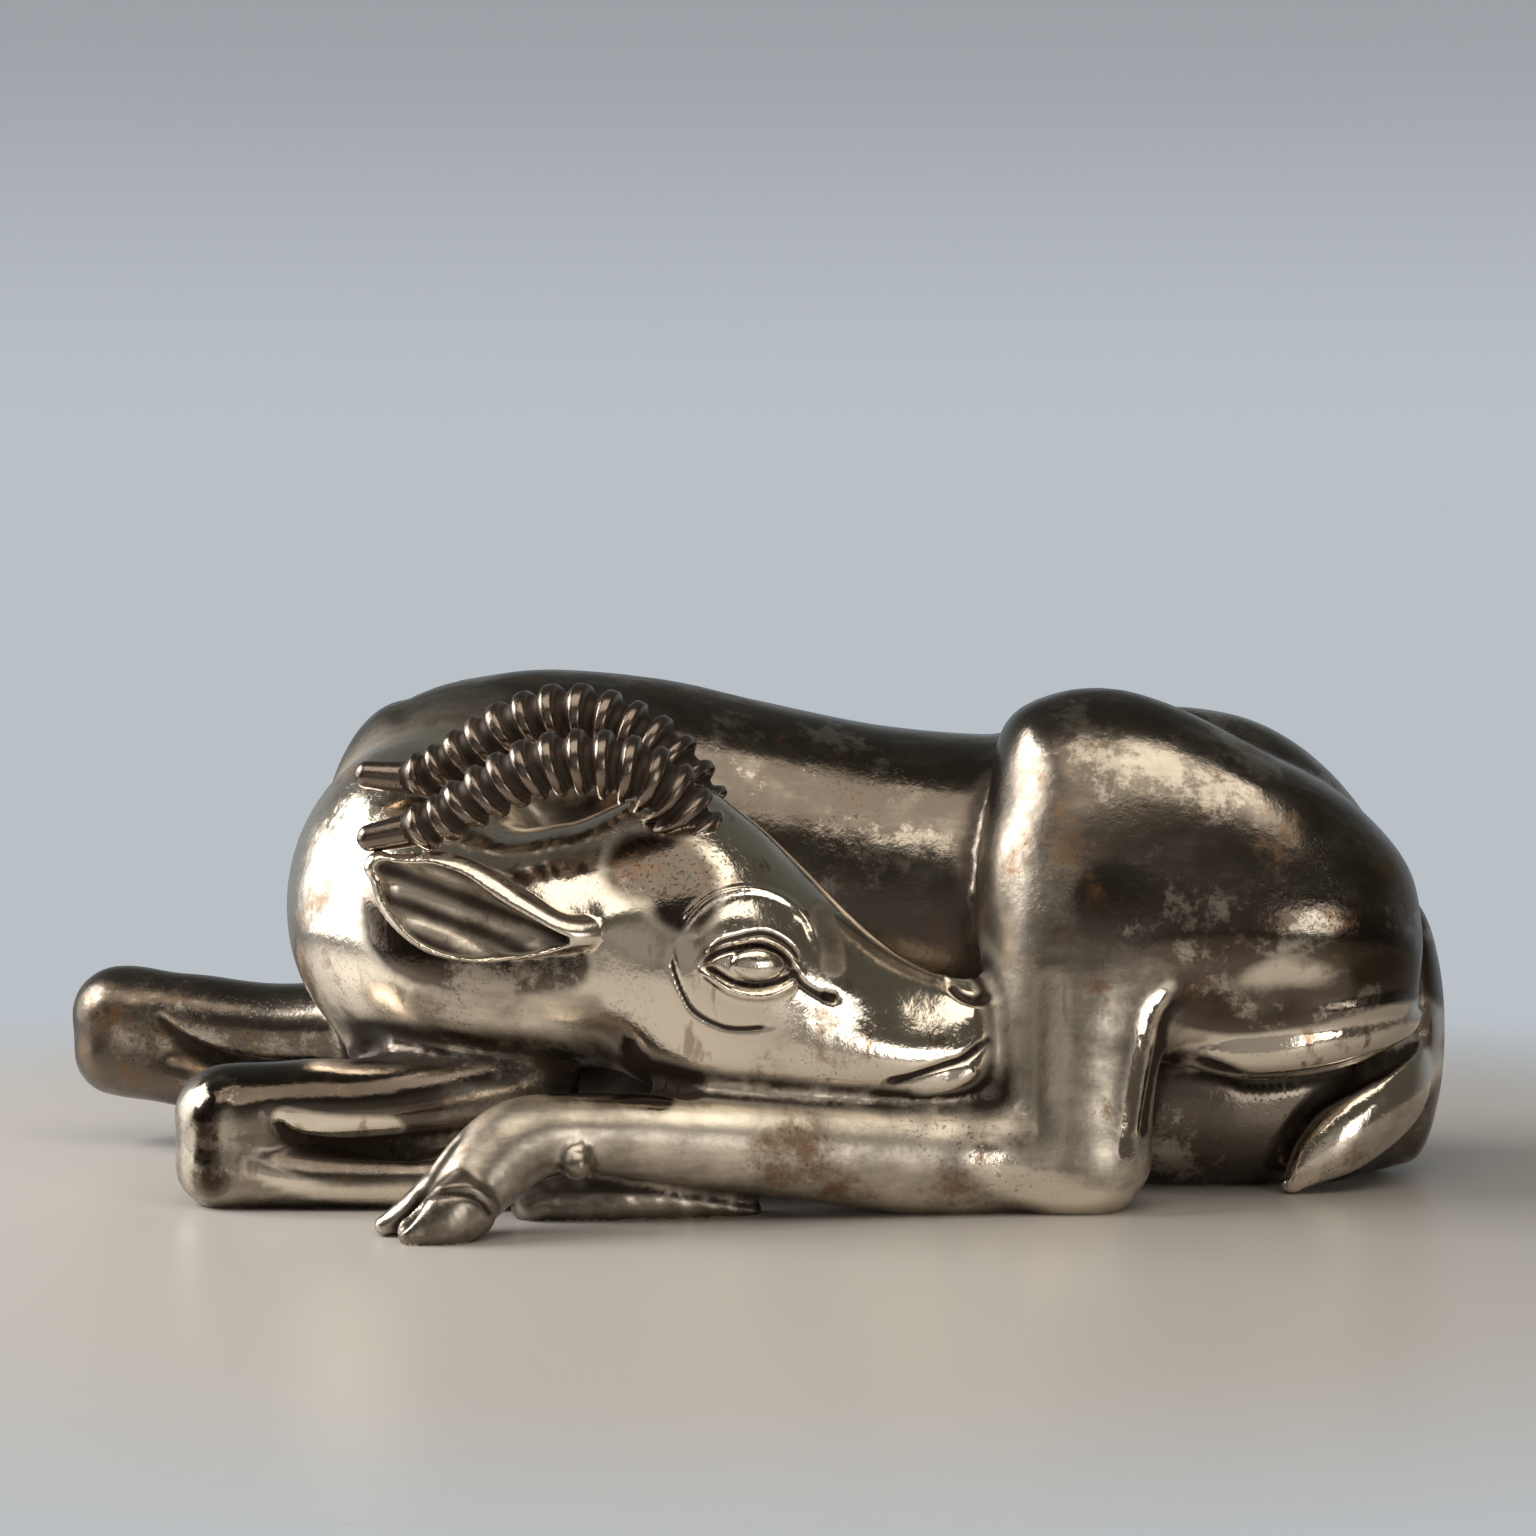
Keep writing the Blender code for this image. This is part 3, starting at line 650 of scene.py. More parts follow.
def near_path(pixels, y, depths, path, reach):
    """Which points may lie within the reach of a path, in pixels, and lie between the two depths."""
    inside = (pixels > np.min(path, axis=0) - reach) & (pixels < np.max(path, axis=0) + reach)
    return np.flatnonzero(inside.all(axis=1) & (y > depths[0]) & (y < depths[1]))


# Fine forms, each a rise in millimetres, a half width in pixels, the nearest and farthest y that it
# reaches, and its path over the photograph. A negative rise is a groove.
EYE = (-0.20, -0.118)
MUZZLE = (-0.20, -0.085)
HOOF = (-0.24, -0.140)
STERN = (-0.12, 0.030)
HOCK = (-0.18, -0.060)
FOREHAND = (-0.16, -0.060)
FAR_SIDE = (0.02, 0.140)
NEAR_NECK = (-0.20, -0.02)
MARKS = {
    "orbit_rim": (1.10, 3.6, EYE,
        ((677, 939), (690, 915), (714, 895), (748, 888), (782, 897), (806, 919), (818, 950))),
    "orbit_hollow": (-0.90, 9.0, EYE,
        ((690, 945), (702, 922), (724, 906), (750, 900), (780, 908), (801, 928))),
    "orbit_groove": (-1.20, 2.8, EYE,
        ((672, 950), (673, 968), (683, 995), (695, 1013), (722, 1027), (748, 1029), (772, 1026))),
    "brow_crease": (-1.20, 2.8, EYE,
        ((704, 956), (718, 944), (736, 938), (765, 933), (789, 945), (802, 966))),
    "upper_lid": (1.80, 4.2, EYE, ((700, 962), (718, 948), (740, 942), (764, 940), (784, 950), (798, 969))),
    "lid_line_above": (-2.20, 3.2, EYE,
        ((700, 966), (718, 953), (740, 947), (761, 946), (782, 955), (796, 971))),
    "lid_line_below": (-2.20, 3.2, EYE,
        ((702, 966), (716, 972), (734, 982), (756, 986), (778, 982), (796, 973))),
    "lower_lid": (2.30, 5.0, EYE, ((699, 967), (713, 979), (734, 992), (762, 996), (786, 988), (800, 975))),
    "tear_groove": (-1.60, 3.4, EYE, ((790, 968), (803, 984), (821, 995), (838, 999))),
    "tear_drop": (-1.30, 5.5, EYE, ((822, 995), (837, 999))),
    "nostril": (-2.30, 4.2, MUZZLE, ((950, 984), (961, 995), (976, 1001), (988, 997))),
    "nostril_wing": (1.40, 6.5, MUZZLE, ((938, 980), (952, 971), (972, 970), (990, 983))),
    "mouth": (-2.80, 3.6, MUZZLE, ((883, 1083), (906, 1079), (941, 1067), (966, 1057), (988, 1040))),
    "lower_lip": (2.20, 8.0, MUZZLE, ((905, 1094), (935, 1089), (962, 1078), (978, 1066))),
    "cleft": (-3.00, 4.0, HOOF,
        ((462, 1127), (448, 1148), (434, 1168), (424, 1189), (412, 1214), (396, 1234))),
    "coronet": (-1.10, 3.0, HOOF, ((424, 1197), (452, 1194), (472, 1197), (486, 1208), (494, 1222))),
    "coronet_rim": (0.90, 5.0, HOOF, ((430, 1190), (454, 1186), (476, 1190), (492, 1202), (502, 1218))),
    "leaf_rim": (1.60, 9.0, STERN,
        ((1190, 1047), (1223, 1040), (1290, 1026), (1350, 1012), (1395, 1004), (1424, 1014))),
    "tail_edge": (-2.20, 4.5, STERN,
        ((1436, 1036), (1395, 1066), (1350, 1087), (1317, 1105), (1297, 1121), (1287, 1140), (1286, 1168))),
    "tendon_ridge": (2.00, 7.0, HOCK,
        ((1174, 988), (1152, 1010), (1144, 1047), (1135, 1098), (1128, 1144))),
    "tendon_groove": (-1.60, 5.5, HOCK,
        ((1190, 995), (1168, 1016), (1160, 1050), (1150, 1100), (1143, 1148))),
    # The foreleg creases are darkened as painted shade of the gap between forearm and cannon.
    "near_foreleg_crease": (-4.50, 6.4, FOREHAND,
        ((268, 1114), (293, 1139), (335, 1148), (400, 1152), (430, 1154))),
    "far_foreleg_crease": (-4.50, 6.4, FAR_SIDE,
        ((148, 1008), (172, 1034), (205, 1054), (259, 1070), (330, 1066))),
    "knee_facet": (-1.20, 7.0, FOREHAND, ((240, 1080), (231, 1110), (229, 1150), (236, 1190))),
    "jaw_crease": (-1.60, 6.0, EYE, ((624, 1036), (638, 1060), (660, 1082), (694, 1097))),
    # The leaf crevice is darkened as painted shade under the leaf rim.
    "leaf_crevice": (-2.60, 6.0, STERN,
        ((1187, 1056), (1223, 1070), (1249, 1082), (1290, 1080), (1345, 1070), (1395, 1052))),
}
# The rough scrap under the hind cannon: where it lies, and the waves in its broken surface.
SCRAP_REACH = ((-0.118, -0.165, -0.010), (0.004, -0.118, 0.023))
SCRAP_LUMPS = (
    ((230.0, 60.0, 150.0), 0.3), ((-140.0, 110.0, 330.0), 1.9), ((390.0, -120.0, -210.0), 4.1),
    ((560.0, 180.0, 420.0), 2.6), ((-90.0, 40.0, -110.0), 0.8),
)
SCRAP_RISE = 1.1
SCRAP_EDGE = 0.006

# The eyeball's centre and half sizes in pixels, and its rise in millimetres.
EYEBALL = ((758, 964), (27, 17), 4.2)

WIDEST_DARK_GROOVE = 6.5
GROOVE_DARKNESS = 1.3
PATH_END = 0.10
BLUNT_END = 0.25
GRAZING = 0.05
GRAZING_RANGE = 0.25


def fine_relief(points, normals):
    """Height of the fine forms at each point, in metres, on what the camera faces, and their darkness.

    A form narrower than a dark groove's widest half width, and sunk, holds dark patina; in the creases
    between forearm and cannon and in the crevice under the leaf rim this darkness is painted shade of the
    gaps between parts."""
    pixels = in_photo(points)
    place = points - DATUM
    toward = unit(CAMERA_PLACE - place)
    facing = np.clip(((normals * toward).sum(axis=1) - GRAZING) / GRAZING_RANGE, 0, 1)
    height = np.zeros(len(points))
    dark = np.zeros(len(points))
    for rise, width, depths, path in MARKS.values():
        chosen = near_path(pixels, place[:, 1], depths, path, 3 * width)
        gap, share = path_distance(pixels[chosen], path)
        ends = np.clip(np.minimum(share, 1 - share) / PATH_END, BLUNT_END, 1)
        profile = ends * np.exp(-((gap / width) ** 2))
        height[chosen] += rise * profile
        if rise < 0 and width < WIDEST_DARK_GROOVE:
            dark[chosen] += GROOVE_DARKNESS * profile
    centre, half, rise = EYEBALL
    radius = np.linalg.norm((pixels - centre) / half, axis=1)
    ball = (radius < 1) & (place[:, 1] < EYE[1])
    height[ball] += rise * np.sqrt(1 - radius[ball] ** 2)
    low, high = SCRAP_REACH
    lumps = 0.0
    for wave, shift in SCRAP_LUMPS:
        lumps = lumps + np.sin(place @ np.array(wave) + shift) / len(SCRAP_LUMPS)
    edge = np.clip(np.minimum(place - low, high - place).min(axis=1) / SCRAP_EDGE, 0, 1)
    height += SCRAP_RISE * lumps * edge
    return height * facing / 1000, dark * facing


# The horns: rings that bulge towards the tip on the side that faces the viewer.
HORN_TAPER = 2.5
HORN_BULGE = 0.0034
HORN_SMOOTH_TIP = 0.024
HORN_SIDES = 36
HORN_STEP = 0.0010
HORN_TIP_ROUND = 0.0048
HORN_LEAN_ANGLE = math.radians(25)
HORN_FIRST_RING = 0.003
HORN_GROOVE_LEVEL = 0.10
HORN_CREST_RANGE = 0.75
HORN_RING_THINNING = 0.40


def horn_surface(spine, sizes):
    """Bars round a smooth spine: r = taper + rise * step(sin^2 phase), whose phase leans with the angle."""
    rows = smooth_curve(np.array(spine) / 1000, HORN_STEP) + DATUM
    along = unit(np.gradient(rows, axis=0))
    front = unit(np.cross(np.cross(along, TO_VIEWER), along))
    top = np.cross(front, along)
    top = top * np.sign(top[:, 2:] + 1e-9)
    step = np.linalg.norm(np.diff(rows, axis=0), axis=1)
    passed = np.concatenate(((0,), np.cumsum(step)))
    length = passed[-1]
    turn = 2 * np.pi * np.arange(HORN_SIDES) / HORN_SIDES
    lean = HORN_BULGE * np.cos(turn - HORN_LEAN_ANGLE)
    part = passed / length
    radius = sizes.horn_root_radius + (sizes.horn_tip_radius - sizes.horn_root_radius) * part**HORN_TAPER
    ringed = length - HORN_SMOOTH_TIP
    where = passed[:, None] - lean
    phase = np.pi * sizes.horn_rings * where / ringed
    fade = np.clip((ringed - where) / (0.5 * ringed / sizes.horn_rings), 0, 1)
    fade *= np.clip(where / HORN_FIRST_RING, 0, 1)
    crest = np.clip((np.sin(phase) ** 2 - HORN_GROOVE_LEVEL) / HORN_CREST_RANGE, 0, 1)
    crest = crest**2 * (3 - 2 * crest) * fade
    radial = radius[:, None] + sizes.horn_ring_rise * (1 - HORN_RING_THINNING * part)[:, None] * crest
    into_tip = np.clip((passed - length + HORN_TIP_ROUND) / HORN_TIP_ROUND, 0, 0.97)
    radial *= np.sqrt(1 - into_tip**2)[:, None]
    points = ring_points(rows, front, radial * np.cos(turn), top, radial * np.sin(turn))
    ends = rows[0] - along[0] * 0.002, rows[-1] + along[-1] * 0.0002
    recess = np.where(where < ringed, 1 - crest, 0.15)
    return tube(points, *ends), np.concatenate((recess.ravel(), (0.5, 0.1)))


# The cupped ear: a leaf-shaped form and the hollow that is taken out of its near side.
EAR = (
    (-74, -139, 124.5, 13, 10), (-88, -146, 124.5, 14, 9.5), (-104, -148, 127.5, 14, 14.5),
    (-122, -149, 132, 14, 20.5), (-140, -147, 137.5, 13, 22.5), (-156, -143, 144.5, 11, 17.5),
    (-168, -140, 153, 7, 7),
)
EAR_HOLLOW = (
    (-87, -160, 122.5, 10, 2), (-104, -161, 124, 15, 9.5), (-122, -161, 127.5, 18, 15.5),
    (-140, -159, 134.5, 17, 19), (-154, -155, 143, 14, 15.5), (-166, -151, 152, 9, 5.5),
)
EAR_RIM_ROUNDING = 0.003
EAR_VOXEL = 0.0012
EAR_RIDGE_RISE = 0.0006
EAR_RIDGE_SPACING = 0.0115
EAR_ACROSS = np.array((0.35, 0.0, 0.937))
EAR_DEPTH = 0.004
# Painted shade inside the ear's hollow, and a painted sheen on its ridges.
EAR_HOLLOW_SHADE = 0.66
EAR_RIDGE_SHEEN = 0.20

SKIN_VOXEL = 0.0040
# The patina of narrow hollows reaches CAVITY_REACH; the painted shade of broad creases reaches SHADE_REACH,
# at SHADE_SHARE of its strength.
CAVITY_REACH = 0.010
SHADE_REACH = 0.035
SHADE_SHARE = 0.5


def limb_object(form):
    """An object with the form's own mesh."""
    return linked("form", new_mesh("form", *form.mesh()))


def boolean(body, operation, other):
    """Joins or cuts closed solids, and takes the other object away."""
    step = body.modifiers.new("step", "BOOLEAN")
    step.operation = operation
    step.solver = "MANIFOLD"
    step.object = other
    graph = bpy.context.evaluated_depsgraph_get()
    mesh = bpy.data.meshes.new_from_object(body.evaluated_get(graph), depsgraph=graph)
    body.modifiers.clear()
    body.data = mesh
    bpy.data.objects.remove(other)


def ear_skin():
    """The ear less its hollow, with a rounded rim and long ridges inside.

    height = EAR_RIDGE_RISE sin(2 pi across / EAR_RIDGE_SPACING)
    """
    ear, hollow = Form(EAR, EAR_DEPTH), Form(EAR_HOLLOW, EAR_DEPTH)
    cup = limb_object(ear)
    boolean(cup, "DIFFERENCE", limb_object(hollow))
    points, faces = remeshed(cup.data, EAR_VOXEL)
    bpy.data.objects.remove(cup)

    def distance(places):
        return -smooth_least(-ear.distance(places), hollow.distance(places), EAR_RIM_ROUNDING)

    points = carried(points, faces, distance, 4, 0.0004)
    inside = np.clip(-ear.distance(points) / EAR_DEPTH, 0, 1) * (hollow.distance(points) < EAR_DEPTH / 2)
    ridges = np.sin(points @ EAR_ACROSS * (2 * math.pi / EAR_RIDGE_SPACING)) * inside
    points = points + corner_normals(points, faces) * (EAR_RIDGE_RISE * ridges)[:, None]
    # Painted shade darkens the ear's hollow; a painted sheen lightens the tops of its ridges.
    return points, faces, EAR_HOLLOW_SHADE * inside - EAR_RIDGE_SHEEN * ridges


def body_skin(limbs, carving):
    """The joined limbs with their fine relief, and at each point its patina and painted shade, by how deep
    in a hollow it lies.
    """
    def distance(places):
        return body_distance(places, limbs)

    points, faces = first_skin(distance, CAD_LOW, CAD_HIGH, SKIN_VOXEL)
    points = unruffled(carried(points, faces, distance, 4, 0.0020), faces, 3)
    points, faces = refined(points, faces, edge_wanted)
    points = carried(points, faces, distance, 4, 0.0008)
    points = unruffled(points, faces, 8)
    normals = corner_normals(points, faces)
    relief, dark = fine_relief(points, normals)
    relief *= carving
    recess = 1 - distance(points + normals * CAVITY_REACH) / CAVITY_REACH
    # Painted shade: a broad darkening where the skin lies deep in a crease between forms, added to the
    # patina of the narrow hollows.
    shade = 1 - distance(points + normals * SHADE_REACH) / SHADE_REACH
    recess = np.clip(recess + SHADE_SHARE * shade + dark, 0, 1)
    return drawn_in(points + normals * relief[:, None]), faces, recess


# How dark with tarnish each form is, from 0 for bright to 1 for dark.
# Painted light among these: the tendon is lighter as a painted highlight, the buttock fold and the tail
# partly so, and the seat under the body darker as painted shade.
FORM_TARNISH_AND_PAINTED_LIGHT = {
    "torso": 0.95, "rump": 0.95, "shoulder": 0.90, "far_thigh": 0.95, "far_shank": 0.80,
    "haunch": 0.92, "shank": 0.62, "seat": 1.30, "buttock_fold": 0.12, "tail": 0.10,
    "neck": 0.10, "brisket": 0.20, "skull": 0.0, "jaw": 0.0, "ear_root": 0.05,
    "near_knee": 0.60, "far_knee": 0.70, "metatarsus": 0.52, "tendon": 0.20,
}
OTHER_TARNISH = 0.85
EAR_TARNISH = 0.15
HORN_TARNISH = 0.20
TARNISH_BLEND = 0.010
TARNISH_DEPTHS = (-0.02, 0.08)

# Painted highlights, reflections and shade, and a few lighter and darker places in the metal: the change in
# tarnish, a half width in pixels, the nearest and farthest y that it reaches, and its path over the
# photograph.
TONE_AND_PAINTED_LIGHT = {
    # Leaf and tail: lighter brassy metal, with painted highlight on their lit upper faces.
    "leaf": (-0.90, 22.0, STERN, ((1195, 1052), (1250, 1056), (1320, 1044), (1390, 1026), (1426, 1022))),
    "tail": (-0.60, 22.0, STERN, ((1425, 1062), (1385, 1090), (1340, 1115), (1302, 1150), (1293, 1190))),
    # Painted reflection of a bright card on the thigh, then painted shade on the lower thigh and along its
    # edge above the leaf.
    "thigh_sheen": (-0.75, 24.0, HOCK, ((1256, 992), (1290, 970), (1328, 985))),
    "thigh_painted_shade": (0.75, 30.0, HOCK, ((1110, 900), (1200, 930), (1290, 930), (1370, 950))),
    "thigh_foot": (0.90, 24.0, HOCK, ((1190, 1000), (1240, 1012), (1330, 1000), (1400, 975))),
    # Painted highlights on the tendon ridge, the shank and the heel.
    "tendon": (-0.80, 9.0, HOCK, ((1172, 988), (1150, 1014), (1143, 1050), (1134, 1100), (1127, 1150))),
    "shank_sheen": (-0.45, 16.0, HOCK, ((1052, 985), (1052, 1040), (1050, 1100), (1046, 1150))),
    "heel": (-0.55, 20.0, HOCK, ((985, 1160), (1030, 1185), (1080, 1205), (1118, 1212))),
    "knee_patina": (1.20, 15.0, FOREHAND, ((216, 1092), (208, 1130), (212, 1180))),
    # Painted highlights on the forearm and the cannon, then painted shade along the foreleg's top between
    # the forelegs.
    "foreleg_sheen": (-0.85, 14.0, FOREHAND, ((285, 1118), (330, 1128), (390, 1128))),
    "cannon_sheen": (-0.70, 9.0, FOREHAND, ((250, 1165), (300, 1186), (360, 1194), (420, 1196))),
    "foreleg_painted_shade": (0.70, 20.0, FOREHAND, ((240, 1086), (335, 1090), (420, 1100))),
    # Painted shade under the jaw.
    "under_jaw": (0.80, 14.0, EYE, ((560, 1086), (610, 1090), (660, 1098))),
    "brow_stain": (0.55, 12.0, EYE, ((822, 915), (830, 940), (834, 966))),
    # Painted dark reflections on the temple and along the neck.
    "temple": (1.15, 36.0, EYE, ((640, 866), (668, 870), (684, 900))),
    "neck_band": (1.50, 24.0, NEAR_NECK, ((385, 900), (400, 945), (470, 968), (565, 966))),
    # Painted shade under the neck and on its lower side.
    "neck_painted_shade": (0.80, 26.0, NEAR_NECK, ((380, 1046), (450, 1052), (520, 1060), (590, 1062))),
    "neck_low": (0.35, 14.0, NEAR_NECK, ((420, 1002), (500, 1006), (590, 1004))),
}


def tarnish_at(points, limbs):
    """The forms' tarnish, averaged with weights exp(-distance / blend), and the patches' changes, most of
    them painted highlights, reflections and shade.
    """
    weight = np.full(len(points), 1e-9)
    total = np.zeros(len(points))
    for name, limb in limbs.items():
        near = limb.near(points)
        share = np.exp(-np.clip(limb.distance(points[near]), *TARNISH_DEPTHS) / TARNISH_BLEND)
        weight[near] += share
        total[near] += share * FORM_TARNISH_AND_PAINTED_LIGHT.get(name, OTHER_TARNISH)
    found = total / weight
    pixels = in_photo(points)
    y = points[:, 1] - DATUM[1]
    for change, width, depths, path in TONE_AND_PAINTED_LIGHT.values():
        chosen = near_path(pixels, y, depths, path, 2 * width)
        gap, _ = path_distance(pixels[chosen], path)
        found[chosen] += change * np.exp(-((gap / width) ** 4))
    return found


def solid(name, skin, **values):
    """An object made of points and faces, with the values that the finish reads at each point."""
    mesh = new_mesh(name, *skin)
    for key, numbers in values.items():
        layer = mesh.attributes.new(key, "FLOAT", "POINT")
        layer.data.foreach_set("value", np.broadcast_to(numbers, len(mesh.vertices)).astype(np.float32))
    return linked(name, mesh)


SHARP_ANGLE = math.radians(55)


def whole_casting(sizes):
    """The skin with its ear and its horns, cut level where it stands."""
    limbs = forms()
    points, faces, recess = body_skin(limbs, sizes.carving)
    tarnish = tarnish_at(points, limbs)
    body = solid("casting", (points, faces), recess=recess, tarnish=tarnish, horn=0.0)
    points, faces, recess = ear_skin()
    ear = solid("ear", (points, faces), recess=recess, tarnish=EAR_TARNISH, horn=0.0)
    boolean(body, "UNION", ear)
    for spine in (NEAR_HORN, FAR_HORN):
        skin, recess = horn_surface(spine, sizes)
        boolean(body, "UNION", solid("horn", skin, recess=recess, tarnish=HORN_TARNISH, horn=1.0))
    boolean(body, "DIFFERENCE", floor_block())
    body.data.set_sharp_from_angle(angle=SHARP_ANGLE)
    return body


FLOOR_BLOCK_MARGIN = 0.05
FLOOR_BLOCK_DEPTH = 0.09


def floor_block():
    """A slab under the animal, wider than it, whose top is the plane that it stands on."""
    low = np.array((CAD_LOW[0] - FLOOR_BLOCK_MARGIN, CAD_LOW[1] - FLOOR_BLOCK_MARGIN, -FLOOR_BLOCK_DEPTH))
    high = np.array((CAD_HIGH[0] + FLOOR_BLOCK_MARGIN, CAD_HIGH[1] + FLOOR_BLOCK_MARGIN, 0.0))
    corners = np.array([(x, y, z) for x in (0, 1) for y in (0, 1) for z in (0, 1)])
    points = low + corners * (high - low)
    quads = np.array(
        ((0, 1, 3, 2), (4, 6, 7, 5), (0, 4, 5, 1), (2, 3, 7, 6), (0, 2, 6, 4), (1, 5, 7, 3))
    )
    return solid("floor_block", (points, quads), recess=0.8, tarnish=0.8, horn=0.0)


class Value:
    """A shader socket on which Python's operators add Math nodes."""

    def __init__(self, graph, socket):
        self.graph = graph
        self.socket = socket

    def math(self, operation, a, b):
        return self.graph.value("ShaderNodeMath", {"operation": operation}, [a, b])

    def __add__(self, other):
        return self.math("ADD", self, other)

    def __mul__(self, other):
        return self.math("MULTIPLY", self, other)

    def __sub__(self, other):
        return self.math("SUBTRACT", self, other)

    def __rsub__(self, other):
        return self.math("SUBTRACT", other, self)

    __radd__ = __add__
    __rmul__ = __mul__

    def between(self, low, high):
        """0 below low, 1 above high, and smooth between them."""
        smooth = {"interpolation_type": "SMOOTHSTEP"}
        return self.graph.value("ShaderNodeMapRange", smooth, [self, low, high, 0.0, 1.0])


class Graph:
    """A node tree, with one method that adds every kind of node."""

    def __init__(self, tree):
        self.tree = tree

    def node(self, kind, settings=None, inputs=()):
        """Adds a node, sets its settings, then feeds its sockets by place or by name."""
        made = self.tree.nodes.new(kind)
        for name, value in (settings or {}).items():
            setattr(made, name, value)
        pairs = inputs.items() if isinstance(inputs, dict) else enumerate(inputs)
        for key, value in pairs:
            socket = made.inputs[key]
            if isinstance(value, Value):
                self.tree.links.new(value.socket, socket)
            elif isinstance(value, bpy.types.NodeSocket):
                self.tree.links.new(value, socket)
            else:
                socket.default_value = (*value, 1.0) if socket.type == "RGBA" else value
        return made

    def value(self, kind, settings=None, inputs=(), output=0):
        return Value(self, self.node(kind, settings, inputs).outputs[output])

    def attribute(self, name):
        return self.value("ShaderNodeAttribute", {"attribute_name": name}, (), "Fac")

    def stretched(self, place, factors):
        return self.value("ShaderNodeVectorMath", {"operation": "MULTIPLY"}, [place, factors])

    def pattern(self, name, place):
        """Noise between 0 and 1, mostly near 0.5, as the table of patterns says."""
        scale, detail, roughness = PATTERNS[name]
        return self.value("ShaderNodeTexNoise", {}, {
            "Vector": place, "Scale": scale, "Detail": detail, "Roughness": roughness
        })

    def mix(self, share, a, b):
        """The colour a where share is 0 and b where it is 1."""
        return self.value("ShaderNodeMix", {"data_type": "RGBA"}, {0: share, 6: a, 7: b}, 2)


# The patterns in the finish: how fine each is, per metre, then its detail and its roughness.
PATTERNS = {
    "clouds": (11.0, 7.0, 0.62),
    "blotches": (46.0, 6.0, 0.66),
    "dimples": (30.0, 1.0, 0.4),
    "grain": (520.0, 2.0, 0.6),
    "streaks": (120.0, 4.0, 0.6),
    "pitted": (13.0, 5.0, 0.65),
    "pits": (560.0, 3.0, 0.65),
    "stains": (24.0, 8.0, 0.72),
    "runs": (75.0, 5.0, 0.6),
    "worn": (17.0, 8.0, 0.75),
}


def silvered_bronze(finish):
    """Polished silvered bronze: pale gold under grey tarnish, with brown-black patina in hollows, and
    painted highlights, reflections and shade.
    """
    material = bpy.data.materials.new("silvered_bronze")
    material.use_nodes = True
    tree = material.node_tree
    graph = Graph(tree)
    shader = tree.nodes["Principled BSDF"]
    place = graph.value("ShaderNodeTexCoord", {}, (), "Object")
    recess, tarnish, horn = (graph.attribute(name) for name in ("recess", "tarnish", "horn"))

    clouds, blotches, dimples, grain = (
        graph.pattern(name, place) for name in ("clouds", "blotches", "dimples", "grain")
    )
    streaks = graph.pattern("streaks", graph.stretched(place, (0.16, 1.0, 1.0)))
    unevenly = (clouds - 0.5) * 1.1 + (blotches - 0.5) * 0.6 + (streaks - 0.5) * 0.5
    # Tarnish, and the painted highlights, reflections and shade that the tarnish attribute carries.
    dullness_and_painted_light = (unevenly + tarnish).between(0.12, 0.95)
    # Patina in the hollows, and painted shade in the creases between forms and in the ear's hollow.
    hollow = (recess + (blotches - 0.5) * 0.40).between(0.28, 0.90)
    pitted = graph.pattern("pitted", place).between(0.48, 0.66)
    pits = graph.pattern("pits", place).between(0.57, 0.66) * pitted * 0.6
    stains = graph.pattern("stains", place).between(0.54, 0.68) * 0.75
    runs = graph.pattern("runs", graph.stretched(place, (1.0, 1.0, 0.28)))
    runs = runs.between(0.60, 0.70) * (1 - tarnish)
    worn = graph.pattern("worn", place).between(0.54, 0.62) * tarnish

    colour = graph.mix(dullness_and_painted_light, finish.bright, finish.tarnished)
    colour = graph.mix(worn * 0.45, colour, finish.bright)
    # Darkest patina, which also paints the shade under the body and the dark painted reflections.
    deepest_patina_and_shade = ((blotches - 0.5) * 0.5 + tarnish).between(1.0, 2.0)
    colour = graph.mix(deepest_patina_and_shade * 0.85, colour, finish.patina)
    colour = graph.mix(horn * 0.88, colour, finish.horn)
    colour = graph.mix((stains + runs * 0.6) * (1 - horn), colour, finish.rust)
    colour = graph.mix(pits, colour, finish.patina)
    colour = graph.mix(hollow, colour, finish.patina)
    half_worn = (tarnish * (1 - tarnish)).between(0.0, 0.5)
    roughness = half_worn * 0.50 + dullness_and_painted_light * 0.03 + (blotches - 0.5) * 0.20 + (streaks - 0.5) * 0.10
    roughness = roughness + hollow * 0.30 + pits * 0.25 + stains * 0.22 + finish.roughness
    relief = clouds * 0.9 + dimples * 0.30 + blotches * 0.16 + grain * 0.012 - pits * 0.06
    bump = graph.node(
        "ShaderNodeBump", {}, {"Strength": 0.32, "Distance": finish.unevenness, "Height": relief}
    )
    tree.links.new(colour.socket, shader.inputs["Base Color"])
    tree.links.new(roughness.socket, shader.inputs["Roughness"])
    tree.links.new((1 - hollow * 0.75).socket, shader.inputs["Metallic"])
    tree.links.new(bump.outputs[0], shader.inputs["Normal"])
    return material


FLOOR_EDGE = (0.42, 0.85)
FLOOR_SIDE = 3.0
FLOOR_ROUGHNESS = 0.36

# The colours of the room that the metal reflects.
ROOM_SIDES = (0.070, 0.059, 0.050)
ROOM_BEHIND = (0.26, 0.285, 0.305)
ROOM_AHEAD = (0.27, 0.25, 0.225)
ROOM_CEILING = (0.070, 0.068, 0.055)
ROOM_GROUND = (0.075, 0.068, 0.062)

